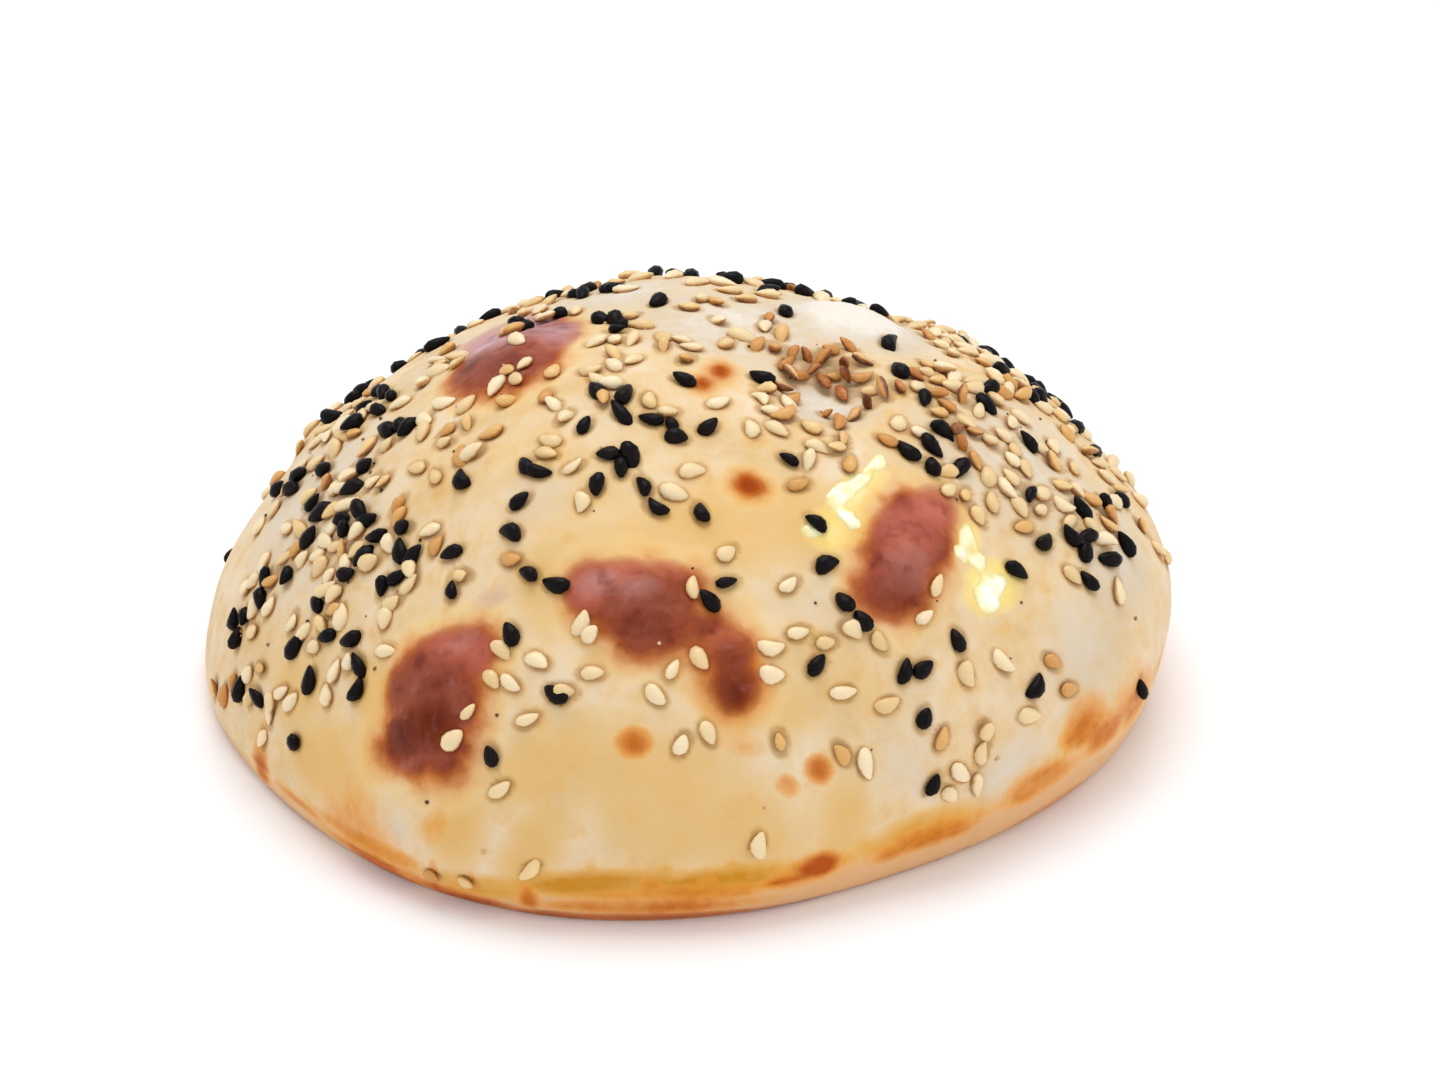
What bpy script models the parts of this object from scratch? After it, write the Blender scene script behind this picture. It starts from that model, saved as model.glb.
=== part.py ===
# A meat and cheese pie: a round filled bread, shut and uncut, puffed into a low dome in the oven,
# with dark blisters and a scatter of white, toasted and black sesame seeds baked into its crust.
# The numbers below are millimetres and degrees, and the finished model is in metres with +Z up.
# The bread stands on its flat underside, and its origin is under the middle of its box.

import math

import bmesh
import bpy
import numpy as np
from mathutils import Matrix, Vector

MM = 0.001

# The bread's widest outline, as a circle with shallow waves: how many round it, share of radius, bearing
GIRTH_RADIUS = 56.1
GIRTH_WAVES = ((1, 0.066, 65), (2, 0.033, 27), (3, 0.015, 22), (4, 0.014, -12))
CROWN = (-1.8, -2.5)
CROWN_HEIGHT = 48.4

# The widest line runs lower on the left than on the right, where the foot tucks under further
GIRTH_HEIGHT = 7.4
GIRTH_TILT = 4.6
FOOT_INSET = 3.0
FOOT_TILT = 0.5
TILT_BEARING = -21

# Fullness of the curves: 2 is an ellipse, and less is flatter
CROWN_FULLNESS = 1.9
SHOULDER_FULLNESS = 1.71
FOOT_FULLNESS = 2.0

# Places past the girth line: how far down the foot a share of the radius counts, and the lowest such place
DOWN_PER_SHARE = 10
LOWEST_PLACE = 0.6

# Slow unevenness of the dough: wave length, height, number of waves
SWELL_SEED = 11
SWELLS = ((62, 0.34, 4), (34, 0.20, 5), (19, 0.09, 6))
FADE_FROM, FADE_TO = 1.3, 1.9

# Bumps and hollows: centre in plan x and y, half width, half length up the slope, lean, rise
BUMPS = {
    "left blister": (-28.3, -42.8, 6.8, 10.4, 14, 1.5),
    "middle blister": (-4.8, -41.0, 8.8, 6.8, 0, 1.4),
    "blister tail": (5.8, -46.0, 4.4, 7.0, -14, 1.0),
    "right blister": (26.0, -30.0, 7.2, 8.8, 12, 1.5),
    "back left blister": (-19.5, -1.5, 9.0, 10.5, 0, 1.2),
    "crown knob": (20.0, 11.5, 8.5, 8.5, 0, 2.0),
    "crown hollow": (17.0, -9.0, 7.5, 9.0, 0, -2.3),
    "rear blister": (-6.0, 37.0, 8.0, 7.0, 20, 1.3),
    "rear right blister": (33.0, 27.0, 7.0, 6.0, -30, 1.2),
    "side blister": (-44.0, 16.0, 6.0, 8.0, 10, 1.2),
}

# The crust's facets: squares across the top, rings down the foot
TOP_SQUARES = 36
FOOT_RINGS = 3

# Seeds, thrown on by the pinch: plan x and y, spread, then how many black, white, toasted and scorched ones
SEED_SEED = 5
PINCHES = (
    # Left shoulder
    (-42, 5, 4, 2, 9, 3, 0), (-38, 3, 2.4, 5, 3, 1, 0), (-38, -9, 2.8, 5, 7, 3, 0),
    (-44, -14, 3.2, 4, 9, 3, 0), (-40, -18, 2, 5, 4, 1, 0), (-42, -24, 2.2, 1, 4, 1, 0),
    (-34, -25, 2.4, 6, 4, 1, 0), (-51, -13, 2.6, 4, 4, 3, 0), (-46, 1, 2.6, 3, 3, 1, 0),
    (-33, -32, 2, 0, 4, 0, 0), (-39, -24, 2.4, 1, 5, 1, 0), (-49, -26, 1.6, 0, 4, 0, 0),
    (-35, -6, 1.2, 2, 0, 1, 0), (-30, 5, 4, 0, 6, 2, 0), (-29, -15, 4, 0, 6, 6, 0),
    (-52, -22, 2.4, 1, 3, 2, 0),
    # Over the top
    (-14, 22, 3, 4, 9, 3, 0), (-8, 16, 1.4, 2, 1, 0, 0), (-18, 11, 2.4, 3, 5, 1, 0),
    (-8, 0, 2.4, 4, 5, 0, 0), (4, 14, 5, 2, 6, 3, 0), (-9, -13, 2, 3, 4, 2, 0),
    (-1, -20, 1.5, 4, 1, 1, 0), (-16, -23, 1.4, 2, 2, 0, 0), (-8, -27, 1.8, 5, 1, 0, 0),
    (-20, -12, 4, 0, 6, 4, 0), (-3, -6, 3.4, 0, 4, 2, 0), (9, 21, 3, 3, 2, 1, 0),
    # Round the hollow, where many are burnt
    (9, 2, 2, 0, 3, 2, 1), (13, -4, 1.3, 0, 0, 1, 5), (18, -3, 1.7, 0, 0, 1, 8),
    (21, -7, 1.2, 0, 0, 1, 5), (11, -12, 1.4, 0, 2, 2, 1), (11, -18, 1.6, 0, 3, 2, 0),
    (15, -21, 1.2, 0, 2, 2, 1), (29, -6, 1.5, 0, 0, 1, 3), (34, -13, 2, 0, 0, 1, 3),
    # Right shoulder
    (20, 25, 3.6, 5, 9, 2, 0), (34, 22, 2.4, 3, 7, 1, 0), (32, 15, 4, 0, 14, 2, 0),
    (40, 10, 3, 4, 13, 4, 0), (46, 12, 2.2, 2, 2, 0, 0), (31, -4, 2.6, 4, 11, 5, 0),
    (38, -7, 4, 1, 9, 3, 0), (28, -17, 2.2, 4, 3, 2, 0), (50, 3, 3, 2, 7, 3, 0),
    (46, -10, 2.6, 4, 6, 2, 0), (39, -15, 3.2, 2, 6, 3, 0), (45, -18, 2.4, 4, 2, 0, 0),
    (54, -6, 3, 0, 3, 1, 0),
    # Behind
    (-28, 32, 6, 10, 12, 4, 0), (-44, 24, 5, 9, 9, 2, 0), (2, 38, 6, 10, 12, 4, 0),
    (26, 42, 6, 9, 10, 3, 0), (46, 28, 5, 8, 9, 2, 0), (-12, 48, 5, 6, 8, 2, 0),
    (-48, 14, 3, 1, 4, 1, 0),
)
# Seeds that lie alone: plan x and y, bearing of the tip
LONE_SEEDS = {
    "black": (
        (-21, -49, 110), (-14, -47, 150), (-19, -41, 110), (-14, -38, 160), (-17, -36, 140),
        (-26, -34, 90), (-26, -30, 170), (-25, -22, 110), (-19, -31, 140), (-18, -28, 20),
        (-3, -31, 150), (0, -13, 160), (-11, -20, 60), (2, -31, 110), (12, -23, 150), (15, -30, 150),
        (16, -34, 30), (5, -38, 20), (3, -40, 150), (18, -37, 140), (20, -38, 150), (31, -35, 120),
        (15, -43, 50), (25, -40, 70), (27, -39, 40), (27, -42, 70), (40, -33, 60), (28, -44, 40),
        (52.4, -20.2, 151), (38, -25, 0), (-45, -32, 130), (-50, -23, 110), (9, -10, 160), (12, 9, 100),
        (24, 5, 80), (25, -3, 110), (-30, 19, 20), (-45, -25, 20), (-41, -28, 150), (-43, -30, 70),
        (-38, -31, 160), (-37, -34, 110), (-37, -36, 40),
    ),
    "white": (
        (-11, -30, 270), (1, -26, 20), (-1, -29, 350), (4, -16, 30), (-19, -1, 300), (-19, -9, 310),
        (-11, -42, 40), (-10, -43, 10), (-20, -42, 310), (-21, -44, 310), (-19, -45, 320),
        (-16, -44, 330), (-10, -46, 0), (-13, -47, 350), (-17, -48, 0), (-23.5, -45.4, 30),
        (-25, -46.5, 10), (-1, -46, 50), (-3, -48, 330), (0, -51, 50), (5, -35, 40), (12, -37, 40),
        (10, -43, 10), (13, -41, 20), (16, -41, 20), (10, -45, 10), (2, -45, 310), (19, -39, 0),
        (22, -39, 340), (23, -43, 30), (34, -39, 310), (33, -41, 20), (36, -34, 340), (39, -35, 40),
        (20.5, -47, 300), (33.5, -40, 70), (31, -42, 20), (8.4, -53.4, 60), (3, -50, 310), (28, -32, 60),
        (27, -35, 40), (18, -44, 20), (1, -39, 90), (32, -37, 300), (30, -43, 20), (-20, -51, 0),
        (-38, -33, 0), (-40, -32, 60), (-41, -33, 100),
    ),
    "toasted": (
        (29, -42, 60), (42, -30, 20), (44, -30, 40), (11, -49, 120), (18, -47.5, 160), (-19, -34, 330),
        (-28, -28, 60), (-25, -33, 330), (32, -20, 70), (13, -26, 20), (-17, -54.3, 179), (-21, 10, 40),
        (-28.8, -50.6, 331), (-24.8, -52.7, 339),
    ),
    "scorched": (
        (17, -13, 300), (20, -13, 240), (18, -16, 270), (18, -19, 270), (12, -5, 60), (21, -2, 350),
    ),
}
# Closest two seeds may lie, and how often one is thrown again when it lands too near another
NEAREST_SEEDS = 1.7
THROWS = 12
# Length, width and thickness
SEED_SIZES = {
    "black": (3.1, 1.85, 1.45),
    "white": (2.95, 1.8, 1.15),
    "toasted": (2.85, 1.65, 1.15),
    "scorched": (2.8, 1.25, 1.0),
}
# Rings along a seed as shares of its length and width, and the corners round it, the last one a deeper keel
SEED_RINGS = ((-0.28, 0.92), (0.14, 0.84))
SEED_CORNERS = (0, 60, 120, 180, 270)
SEED_KEEL = 1.7
SIZE_SPREAD = 0.08
TILT_SPREAD = 9
LOWEST_PINCHED = 0.96
STEEPEST_NORMAL = 0.15
SEED_LIFT = 0.15
MODELLED_SEEDS = 205
MODELLED_GAP = 3.5

CRUST_COLOUR = (0.80, 0.56, 0.29, 1.0)
CRUST_ROUGHNESS = 0.62


def clear_scene():
    for item in list(bpy.data.objects):
        bpy.data.objects.remove(item, do_unlink=True)


def girth_radius(bearing):
    waves = sum(share * np.cos(count * (bearing - math.radians(at))) for count, share, at in GIRTH_WAVES)
    return GIRTH_RADIUS * (1 + waves)


def tilted(middle, tilt, bearing):
    return middle + tilt * np.cos(bearing - math.radians(TILT_BEARING))


def plain_crust(bearing, down):
    """Point of the smooth dome: down runs from 0 at the crown to 1 at the girth and 2 at the table."""
    above = np.clip(down, 0, 1) * math.pi / 2
    below = np.clip(down - 1, 0, 1) * math.pi / 2
    girth = tilted(GIRTH_HEIGHT, GIRTH_TILT, bearing)
    tuck = tilted(FOOT_INSET, FOOT_TILT, bearing) * (1 - np.cos(below) ** (2 / FOOT_FULLNESS))
    radius = girth_radius(bearing) * np.sin(above) ** (2 / CROWN_FULLNESS) - tuck
    rise = (CROWN_HEIGHT - girth) * np.cos(above) ** (2 / SHOULDER_FULLNESS)
    height = girth * (1 - np.sin(below) ** (2 / FOOT_FULLNESS)) + rise
    return np.stack((CROWN[0] + radius * np.cos(bearing), CROWN[1] + radius * np.sin(bearing), height), -1)


def outward(bearing, down):
    """Unit normals of the smooth dome, from small steps round it and down it."""
    step = 1e-3
    safe = np.clip(down, 0.01, 2 - step)
    along = plain_crust(bearing + step, safe) - plain_crust(bearing - step, safe)
    slope = plain_crust(bearing, safe + step) - plain_crust(bearing, safe - step)
    normal = np.cross(slope, along)
    return normal / np.linalg.norm(normal, axis=-1, keepdims=True)


def crust_place(x, y):
    """Bearing and down of the dome's point over a place in plan.

    Every hundredth of the radius past the girth line counts as a tenth of the way down the foot.
    """
    bearing = np.arctan2(y - CROWN[1], x - CROWN[0])
    share = np.hypot(x - CROWN[0], y - CROWN[1]) / girth_radius(bearing)
    on_top = np.arcsin(np.clip(share, 0, 1) ** (CROWN_FULLNESS / 2)) / (math.pi / 2)
    return bearing, on_top + np.clip(DOWN_PER_SHARE * (share - 1), 0, LOWEST_PLACE)


def spot_distance(points, x, y, half_width, half_length, lean):
    """Distance from a spot's centre along the crust, in shares of its half sizes."""
    place = crust_place(x, y)
    centre, normal = plain_crust(*place), outward(*place)
    away = np.array((0.0, 1.0, 0.0)) - normal[1] * normal
    away /= np.linalg.norm(away)
    side = np.cross(away, normal)
    turn = math.radians(lean)
    axis_up = math.cos(turn) * away + math.sin(turn) * side
    axis_side = math.cos(turn) * side - math.sin(turn) * away
    offset = points - centre
    depth = offset @ normal
    return np.sqrt(
        (offset @ axis_side / half_width) ** 2 + (offset @ axis_up / half_length) ** 2
        + (depth / (half_width + half_length)) ** 2
    )


def swell(points):
    draw = np.random.default_rng(SWELL_SEED)
    height = np.zeros(points.shape[:-1])
    for length, rise, count in SWELLS:
        for _ in range(count):
            heading = draw.normal(size=3)
            heading /= np.linalg.norm(heading)
            phase = draw.uniform(0, 2 * math.pi)
            height += rise * np.sin(2 * math.pi / length * (points @ heading) + phase)
    return height


def relief(points, down):
    """Height of the real crust above the smooth dome, fading out down the foot."""
    height = swell(points)
    for x, y, half_width, half_length, lean, rise in BUMPS.values():
        reach = np.clip(spot_distance(points, x, y, half_width, half_length, lean), 0, 1)
        height += rise * (1 - reach ** 2) ** 1.5
    return height * np.clip((FADE_TO - down) / (FADE_TO - FADE_FROM), 0, 1)


def crust(bearing, down):
    points = plain_crust(bearing, down)
    height = relief(points, down)
    return points + outward(bearing, down) * height[..., None]


def square_to_disc(u, v):
    """Even map of a square onto a round: squares round the middle become rings."""
    wide = np.abs(u) >= np.abs(v)
    reach = np.where(wide, u, v)
    other = np.where(wide, v, u)
    with np.errstate(divide="ignore", invalid="ignore"):
        turn = np.where(reach == 0, 0, math.pi / 4 * other / reach)
    turn = np.where(wide, turn, math.pi / 2 - turn)
    return np.arctan2(reach * np.sin(turn), reach * np.cos(turn)), np.abs(reach)


def move_to_crust(verts, bearing, down):
    points = crust(bearing, down)
    for vert, point in zip(verts, points):
        vert.co = Vector(point) * MM


def neighbours(vert):
    return [edge.other_vert(vert) for edge in vert.link_edges]


def make_crust(material):
    """One closed skin: a square grid drawn over the dome, rings down the foot, and a flat base."""
    bm = bmesh.new()
    bmesh.ops.create_grid(bm, x_segments=TOP_SQUARES, y_segments=TOP_SQUARES, size=1.0)
    verts = list(bm.verts)
    u = np.array([vert.co.x for vert in verts])
    v = np.array([vert.co.y for vert in verts])
    bearing, down = square_to_disc(u, v)
    move_to_crust(verts, bearing, down)
    rim_bearing = dict(zip(verts, bearing))
    for ring in range(1, FOOT_RINGS + 1):
        rim = [edge for edge in bm.edges if edge.is_boundary]
        grown = bmesh.ops.extrude_edge_only(bm, edges=rim)["geom"]
        below = [item for item in grown if isinstance(item, bmesh.types.BMVert)]
        uppers = [next(top for top in neighbours(vert) if top in rim_bearing) for vert in below]
        angles = np.array([rim_bearing[upper] for upper in uppers])
        move_to_crust(below, angles, np.full(len(below), 1 + ring / FOOT_RINGS))
        rim_bearing = dict(zip(below, angles))
    bmesh.ops.edgeloop_fill(bm, edges=[edge for edge in bm.edges if edge.is_boundary])
    bmesh.ops.triangulate(bm, faces=[face for face in bm.faces if len(face.verts) > 4])
    bmesh.ops.recalc_face_normals(bm, faces=bm.faces)
    mesh = bpy.data.meshes.new("pie")
    bm.to_mesh(mesh)
    bm.free()
    mesh.materials.append(material)
    mesh.shade_smooth()
    pie = bpy.data.objects.new("pie", mesh)
    bpy.context.collection.objects.link(pie)
    return pie


def strew_seeds():
    """Every seed as kind, plan x, plan y, bearing of its tip, size, tilt and roll."""
    draw = np.random.default_rng(SEED_SEED)
    seeds, laid = [], []

    def lay(kind, x, y, heading):
        laid.append(plain_crust(*crust_place(x, y)))
        size = 1 + SIZE_SPREAD * draw.normal()
        tilt, roll = TILT_SPREAD * draw.normal(size=2)
        seeds.append((kind, x, y, heading, size, tilt, roll))

    for kind, places in LONE_SEEDS.items():
        for x, y, heading in places:
            lay(kind, x, y, heading)
    for x, y, spread, *counts in PINCHES:
        for kind in np.repeat(("black", "white", "toasted", "scorched"), counts).tolist():
            for _ in range(THROWS):
                near_x, near_y = np.array((x, y)) + spread * draw.normal(size=2)
                bearing, down = crust_place(near_x, near_y)
                point = plain_crust(bearing, down)
                apart = np.linalg.norm(np.array(laid) - point, axis=1).min()
                if down < LOWEST_PINCHED and apart > NEAREST_SEEDS:
                    lay(kind, near_x, near_y, draw.uniform(0, 360))
                    break
    return seeds


def seed_mesh(kind):
    """A flat teardrop along X, tip at +X: two rings between its blunt end and its tip, keeled below."""
    seed_length, seed_width, seed_thickness = SEED_SIZES[kind]
    bm = bmesh.new()
    rings = []
    for along, girth in SEED_RINGS:
        ring = []
        for turn in SEED_CORNERS:
            y = seed_width / 2 * girth * math.cos(math.radians(turn))
            depth = SEED_KEEL if turn > 180 else 1
            z = seed_thickness / 2 * girth * math.sin(math.radians(turn)) * depth
            ring.append(bm.verts.new(Vector((along * seed_length, y, z)) * MM))
        rings.append(ring)
    ends = [bm.verts.new(Vector((x * seed_length, 0, 0)) * MM) for x in (-0.5, 0.5)]
    for side in range(len(SEED_CORNERS)):
        after = (side + 1) % len(SEED_CORNERS)
        bm.faces.new((rings[0][side], rings[0][after], rings[1][after], rings[1][side]))
        bm.faces.new((ends[0], rings[0][after], rings[0][side]))
        bm.faces.new((ends[1], rings[1][side], rings[1][after]))
    bmesh.ops.recalc_face_normals(bm, faces=bm.faces)
    mesh = bpy.data.meshes.new("seed")
    bm.to_mesh(mesh)
    bm.free()
    return mesh


def seed_matrix(x, y, heading, size, tilt, roll):
    """Lies flat on the crust, sunk by half, its tip at the heading in plan, lifted on to the slope."""
    bearing, down = crust_place(x, y)
    normal = Vector(outward(bearing, down))
    point = Vector(crust(np.array([bearing]), np.array([down]))[0]) + normal * SEED_LIFT
    level = Vector((math.cos(math.radians(heading)), math.sin(math.radians(heading)), 0))
    climb = -level.dot(normal) / max(normal.z, STEEPEST_NORMAL)
    along = (level + Vector((0, 0, climb))).normalized()
    frame = Matrix((along, normal.cross(along), normal)).transposed().to_4x4()
    lean = Matrix.Rotation(math.radians(tilt), 4, "Y") @ Matrix.Rotation(math.radians(roll), 4, "X")
    return Matrix.Translation(point * MM) @ frame @ lean @ Matrix.Scale(size, 4)


def choose_seeds(seeds):
    """The largest first, each clear of those already chosen and above the girth line, up to a number."""
    chosen, places = [], []
    for seed in sorted(seeds, key=lambda seed: -seed[4]):
        bearing, down = crust_place(seed[1], seed[2])
        point = plain_crust(bearing, down)
        if down < 1 and all(np.linalg.norm(point - other) > MODELLED_GAP for other in places):
            chosen.append(seed)
            places.append(point)
        if len(chosen) == MODELLED_SEEDS:
            break
    return chosen


def fuse_seeds(pie, seeds):
    """Joins the seeds to the crust as one solid."""
    handful = bpy.data.collections.new("handful")
    bpy.context.scene.collection.children.link(handful)
    meshes = {kind: seed_mesh(kind) for kind in SEED_SIZES}
    for number, (kind, *place) in enumerate(seeds):
        item = bpy.data.objects.new(f"seed_{number}", meshes[kind])
        item.matrix_world = seed_matrix(*place)
        handful.objects.link(item)
    union = pie.modifiers.new("seeds", "BOOLEAN")
    union.operation = "UNION"
    union.operand_type = "COLLECTION"
    union.collection = handful
    union.solver = "EXACT"
    bpy.context.view_layer.update()
    fused = bpy.data.meshes.new_from_object(pie.evaluated_get(bpy.context.evaluated_depsgraph_get()))
    pie.modifiers.remove(union)
    plain = pie.data
    pie.data = fused
    fused.name = "pie"
    bpy.data.meshes.remove(plain)
    for item in list(handful.objects):
        bpy.data.objects.remove(item, do_unlink=True)
    bpy.data.collections.remove(handful)
    for mesh in meshes.values():
        bpy.data.meshes.remove(mesh)


def crust_material():
    material = bpy.data.materials.new("baked crust")
    material.use_nodes = True
    shader = material.node_tree.nodes["Principled BSDF"]
    shader.inputs["Base Color"].default_value = CRUST_COLOUR
    shader.inputs["Roughness"].default_value = CRUST_ROUGHNESS
    shader.inputs["Metallic"].default_value = 0.0
    return material


def main():
    clear_scene()
    pie = make_crust(crust_material())
    fuse_seeds(pie, choose_seeds(strew_seeds()))


main()
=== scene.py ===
import math

import bpy
import numpy as np
from mathutils import Matrix


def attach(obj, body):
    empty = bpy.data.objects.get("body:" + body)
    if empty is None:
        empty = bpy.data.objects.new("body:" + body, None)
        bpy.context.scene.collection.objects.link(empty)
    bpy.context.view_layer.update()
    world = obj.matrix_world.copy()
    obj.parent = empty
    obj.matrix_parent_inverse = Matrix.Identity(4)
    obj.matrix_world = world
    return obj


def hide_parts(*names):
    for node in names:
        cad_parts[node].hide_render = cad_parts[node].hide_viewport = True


# A meat and cheese pie, shut and uncut: a soft wheat crust puffed into a low dome in a hot oven.
# Lengths are millimetres, angles degrees and bearings run counterclockwise from +X in plan.
# Only the finished meshes are in metres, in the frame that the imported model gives.

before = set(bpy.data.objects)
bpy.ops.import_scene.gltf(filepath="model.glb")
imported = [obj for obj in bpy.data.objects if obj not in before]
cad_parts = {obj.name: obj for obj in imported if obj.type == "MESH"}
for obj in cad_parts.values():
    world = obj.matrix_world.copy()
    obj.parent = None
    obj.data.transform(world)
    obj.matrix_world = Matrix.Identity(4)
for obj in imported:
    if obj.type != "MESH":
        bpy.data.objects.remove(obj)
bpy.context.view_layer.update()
print("frame loaded:", sorted(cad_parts))
mm = 0.001  # in metres


# Rounded step from 0 to 1: t * t * (3 - 2 * t), with t held between 0 and 1
def smooth(t):
    t = np.clip(t, 0, 1)
    return t * t * (3 - 2 * t)


# Cloudy field from -1 to 1: random heights at the corners of cubes one grain wide, blended by smooth steps.
# It repeats every 32 cubes
def mottle(points, grain, seed):
    cubes = 32
    lattice = np.random.default_rng(seed).uniform(-1, 1, (cubes, cubes, cubes))
    cell = points / grain
    corner = np.floor(cell).astype(int)
    share = smooth(cell - corner)
    total = np.zeros(points.shape[:-1])
    for i in (0, 1):
        for j in (0, 1):
            for k in (0, 1):
                side = np.array((i, j, k))
                weight = np.prod(np.where(side == 1, share, 1 - share), axis=-1)
                at = (corner + side) % cubes
                total += weight * lattice[at[..., 0], at[..., 1], at[..., 2]]
    return total


# Clouds of several grains added up: the sum of height * mottle, from rows of grain, height and seed
def clouds(points, rows):
    return sum(height * mottle(points, grain, seed) for grain, height, seed in rows)


# The dome: girth line, crown, and how full the curves are (2 is an ellipse, less is flatter)
dome = {
    "girthRadius": 56.1,
    "girthWaves": ((1, 0.066, 65), (2, 0.033, 27), (3, 0.015, 22), (4, 0.014, -12)),  # count, share, bearing
    "crown": (-1.8, -2.5),
    "crownHeight": 48.4,
    "girthHeight": 7.4,
    "girthTilt": 4.6,
    "footInset": 3.0,
    "footTilt": 0.5,
    "tiltBearing": -21,
    "crownFullness": 1.9,
    "shoulderFullness": 1.71,
    "footFullness": 2.0,
    "placeDown": (10, 0.6),  # share of the foot per share of the radius past the girth line, and its most
    "swellSeed": 11,
    "swells": ((62, 0.34, 4), (34, 0.20, 5), (19, 0.09, 6)),  # wave length, height, number of waves
    "bumps": (  # plan x and y, half width, half length up the slope, lean, rise
        (-28.3, -42.8, 6.8, 10.4, 14, 1.5),
        (-4.8, -41.0, 8.8, 6.8, 0, 1.4),
        (5.8, -46.0, 4.4, 7.0, -14, 1.0),
        (26.0, -30.0, 7.2, 8.8, 12, 1.5),
        (-19.5, -1.5, 9.0, 10.5, 0, 1.2),
        (20.0, 11.5, 8.5, 8.5, 0, 2.0),
        (17.0, -9.0, 7.5, 9.0, 0, -2.3),
        (-6.0, 37.0, 8.0, 7.0, 20, 1.3),
        (33.0, 27.0, 7.0, 6.0, -30, 1.2),
        (-44.0, 16.0, 6.0, 8.0, 10, 1.2),
    ),
}


# Radius of the girth line: a circle with shallow waves, r = R * (1 + sum of share * cos(count * turn))
def girthRadius(bearing):
    waves = sum(share * np.cos(n * (bearing - math.radians(at))) for n, share, at in dome["girthWaves"])
    return dome["girthRadius"] * (1 + waves)


# A value that is higher on one side: middle + tilt * cos(turn from the high side)
def tilted(middle, tilt, bearing):
    return middle + tilt * np.cos(bearing - math.radians(dome["tiltBearing"]))


# Smooth dome from bearing and down (0 crown, 1 girth, 2 table): above the girth radius = R * sin^(2/a) and
# height = rise * cos^(2/b) of the angle down; below it the foot tucks in along a quarter of an ellipse
def domePoint(bearing, down):
    above = np.clip(down, 0, 1) * math.pi / 2
    below = np.clip(down - 1, 0, 1) * math.pi / 2
    girth = tilted(dome["girthHeight"], dome["girthTilt"], bearing)
    inset = tilted(dome["footInset"], dome["footTilt"], bearing)
    tuck = inset * (1 - np.cos(below) ** (2 / dome["footFullness"]))
    radius = girthRadius(bearing) * np.sin(above) ** (2 / dome["crownFullness"]) - tuck
    rise = (dome["crownHeight"] - girth) * np.cos(above) ** (2 / dome["shoulderFullness"])
    height = girth * (1 - np.sin(below) ** (2 / dome["footFullness"])) + rise
    x = dome["crown"][0] + radius * np.cos(bearing)
    y = dome["crown"][1] + radius * np.sin(bearing)
    return np.stack((x, y, height), -1)


# Unit normals of a surface of bearing and down: the cross product of small steps down it and round it, taken
# a little off the crown and off the table
def outward(surface, bearing, down, step=1e-3):
    safe = np.clip(down, 10 * step, 2 - step)
    along = surface(bearing + step, safe) - surface(bearing - step, safe)
    slope = surface(bearing, safe + step) - surface(bearing, safe - step)
    normal = np.cross(slope, along)
    return normal / np.linalg.norm(normal, axis=-1, keepdims=True)


# Bearing and down of the dome's point over a place in plan: down is arcsin(share^(a/2)) over a quarter turn.
# Past the girth line every hundredth of the radius counts as a tenth of the way down the foot
def domePlace(x, y):
    bearing = np.arctan2(y - dome["crown"][1], x - dome["crown"][0])
    share = np.hypot(x - dome["crown"][0], y - dome["crown"][1]) / girthRadius(bearing)
    onTop = np.arcsin(np.clip(share, 0, 1) ** (dome["crownFullness"] / 2)) / (math.pi / 2)
    rate, most = dome["placeDown"]
    return bearing, onTop + np.clip(rate * (share - 1), 0, most)


# A spot's share: 0 at its centre, 1 on its oval edge, the root of the sum of squares of across / half width,
# upward / half length and depth / both, from the plane that touches the dome over (x, y). Upward points up
# the slope towards +Y, turned by the lean
def spotShare(points, x, y, halfWidth, halfLength, lean):
    place = domePlace(x, y)
    centre, normal = domePoint(*place), outward(domePoint, *place)
    away = np.array((0.0, 1.0, 0.0)) - normal[1] * normal
    away /= np.linalg.norm(away)
    side = np.cross(away, normal)
    turn = math.radians(lean)
    offset = points - centre
    across = offset @ (math.cos(turn) * side - math.sin(turn) * away) / halfWidth
    upward = offset @ (math.cos(turn) * away + math.sin(turn) * side) / halfLength
    depth = offset @ normal / (halfWidth + halfLength)
    return np.sqrt(across ** 2 + upward ** 2 + depth ** 2) + 1e-6


# Gap in mm to a spot's edge, less than 0 inside it: reach * (1 - 1 / share), with reach the distance to its
# centre. That has no one value at the centre, so in the innermost fifth it is -half width * (1 - share)
def spotGap(points, spot):
    x, y, halfWidth, halfLength, lean = spot
    share = spotShare(points, x, y, halfWidth, halfLength, lean)
    reach = np.linalg.norm(points - domePoint(*domePlace(x, y)), axis=-1)
    return np.where(share < 0.2, -min(halfWidth, halfLength) * (1 - share), reach * (1 - 1 / share))


# Several spots melted into one outline: the soft least of their gaps, -blend * log(sum of exp(-gap / blend))
def joinedGap(points, spots, blend=0.7, furthest=20):
    gaps = np.clip([spotGap(points, spot) for spot in spots], -furthest, furthest)
    return -blend * np.log(np.exp(-gaps / blend).sum(0))


# Strongest of several oval patches: strength * (1 - share squared), and 0 outside
def patches(points, spots):
    shares = [(spotShare(points, *spot), strength) for *spot, strength in spots]
    return np.max([strength * np.clip(1 - share ** 2, 0, 1) for share, strength in shares], axis=0)


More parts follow.
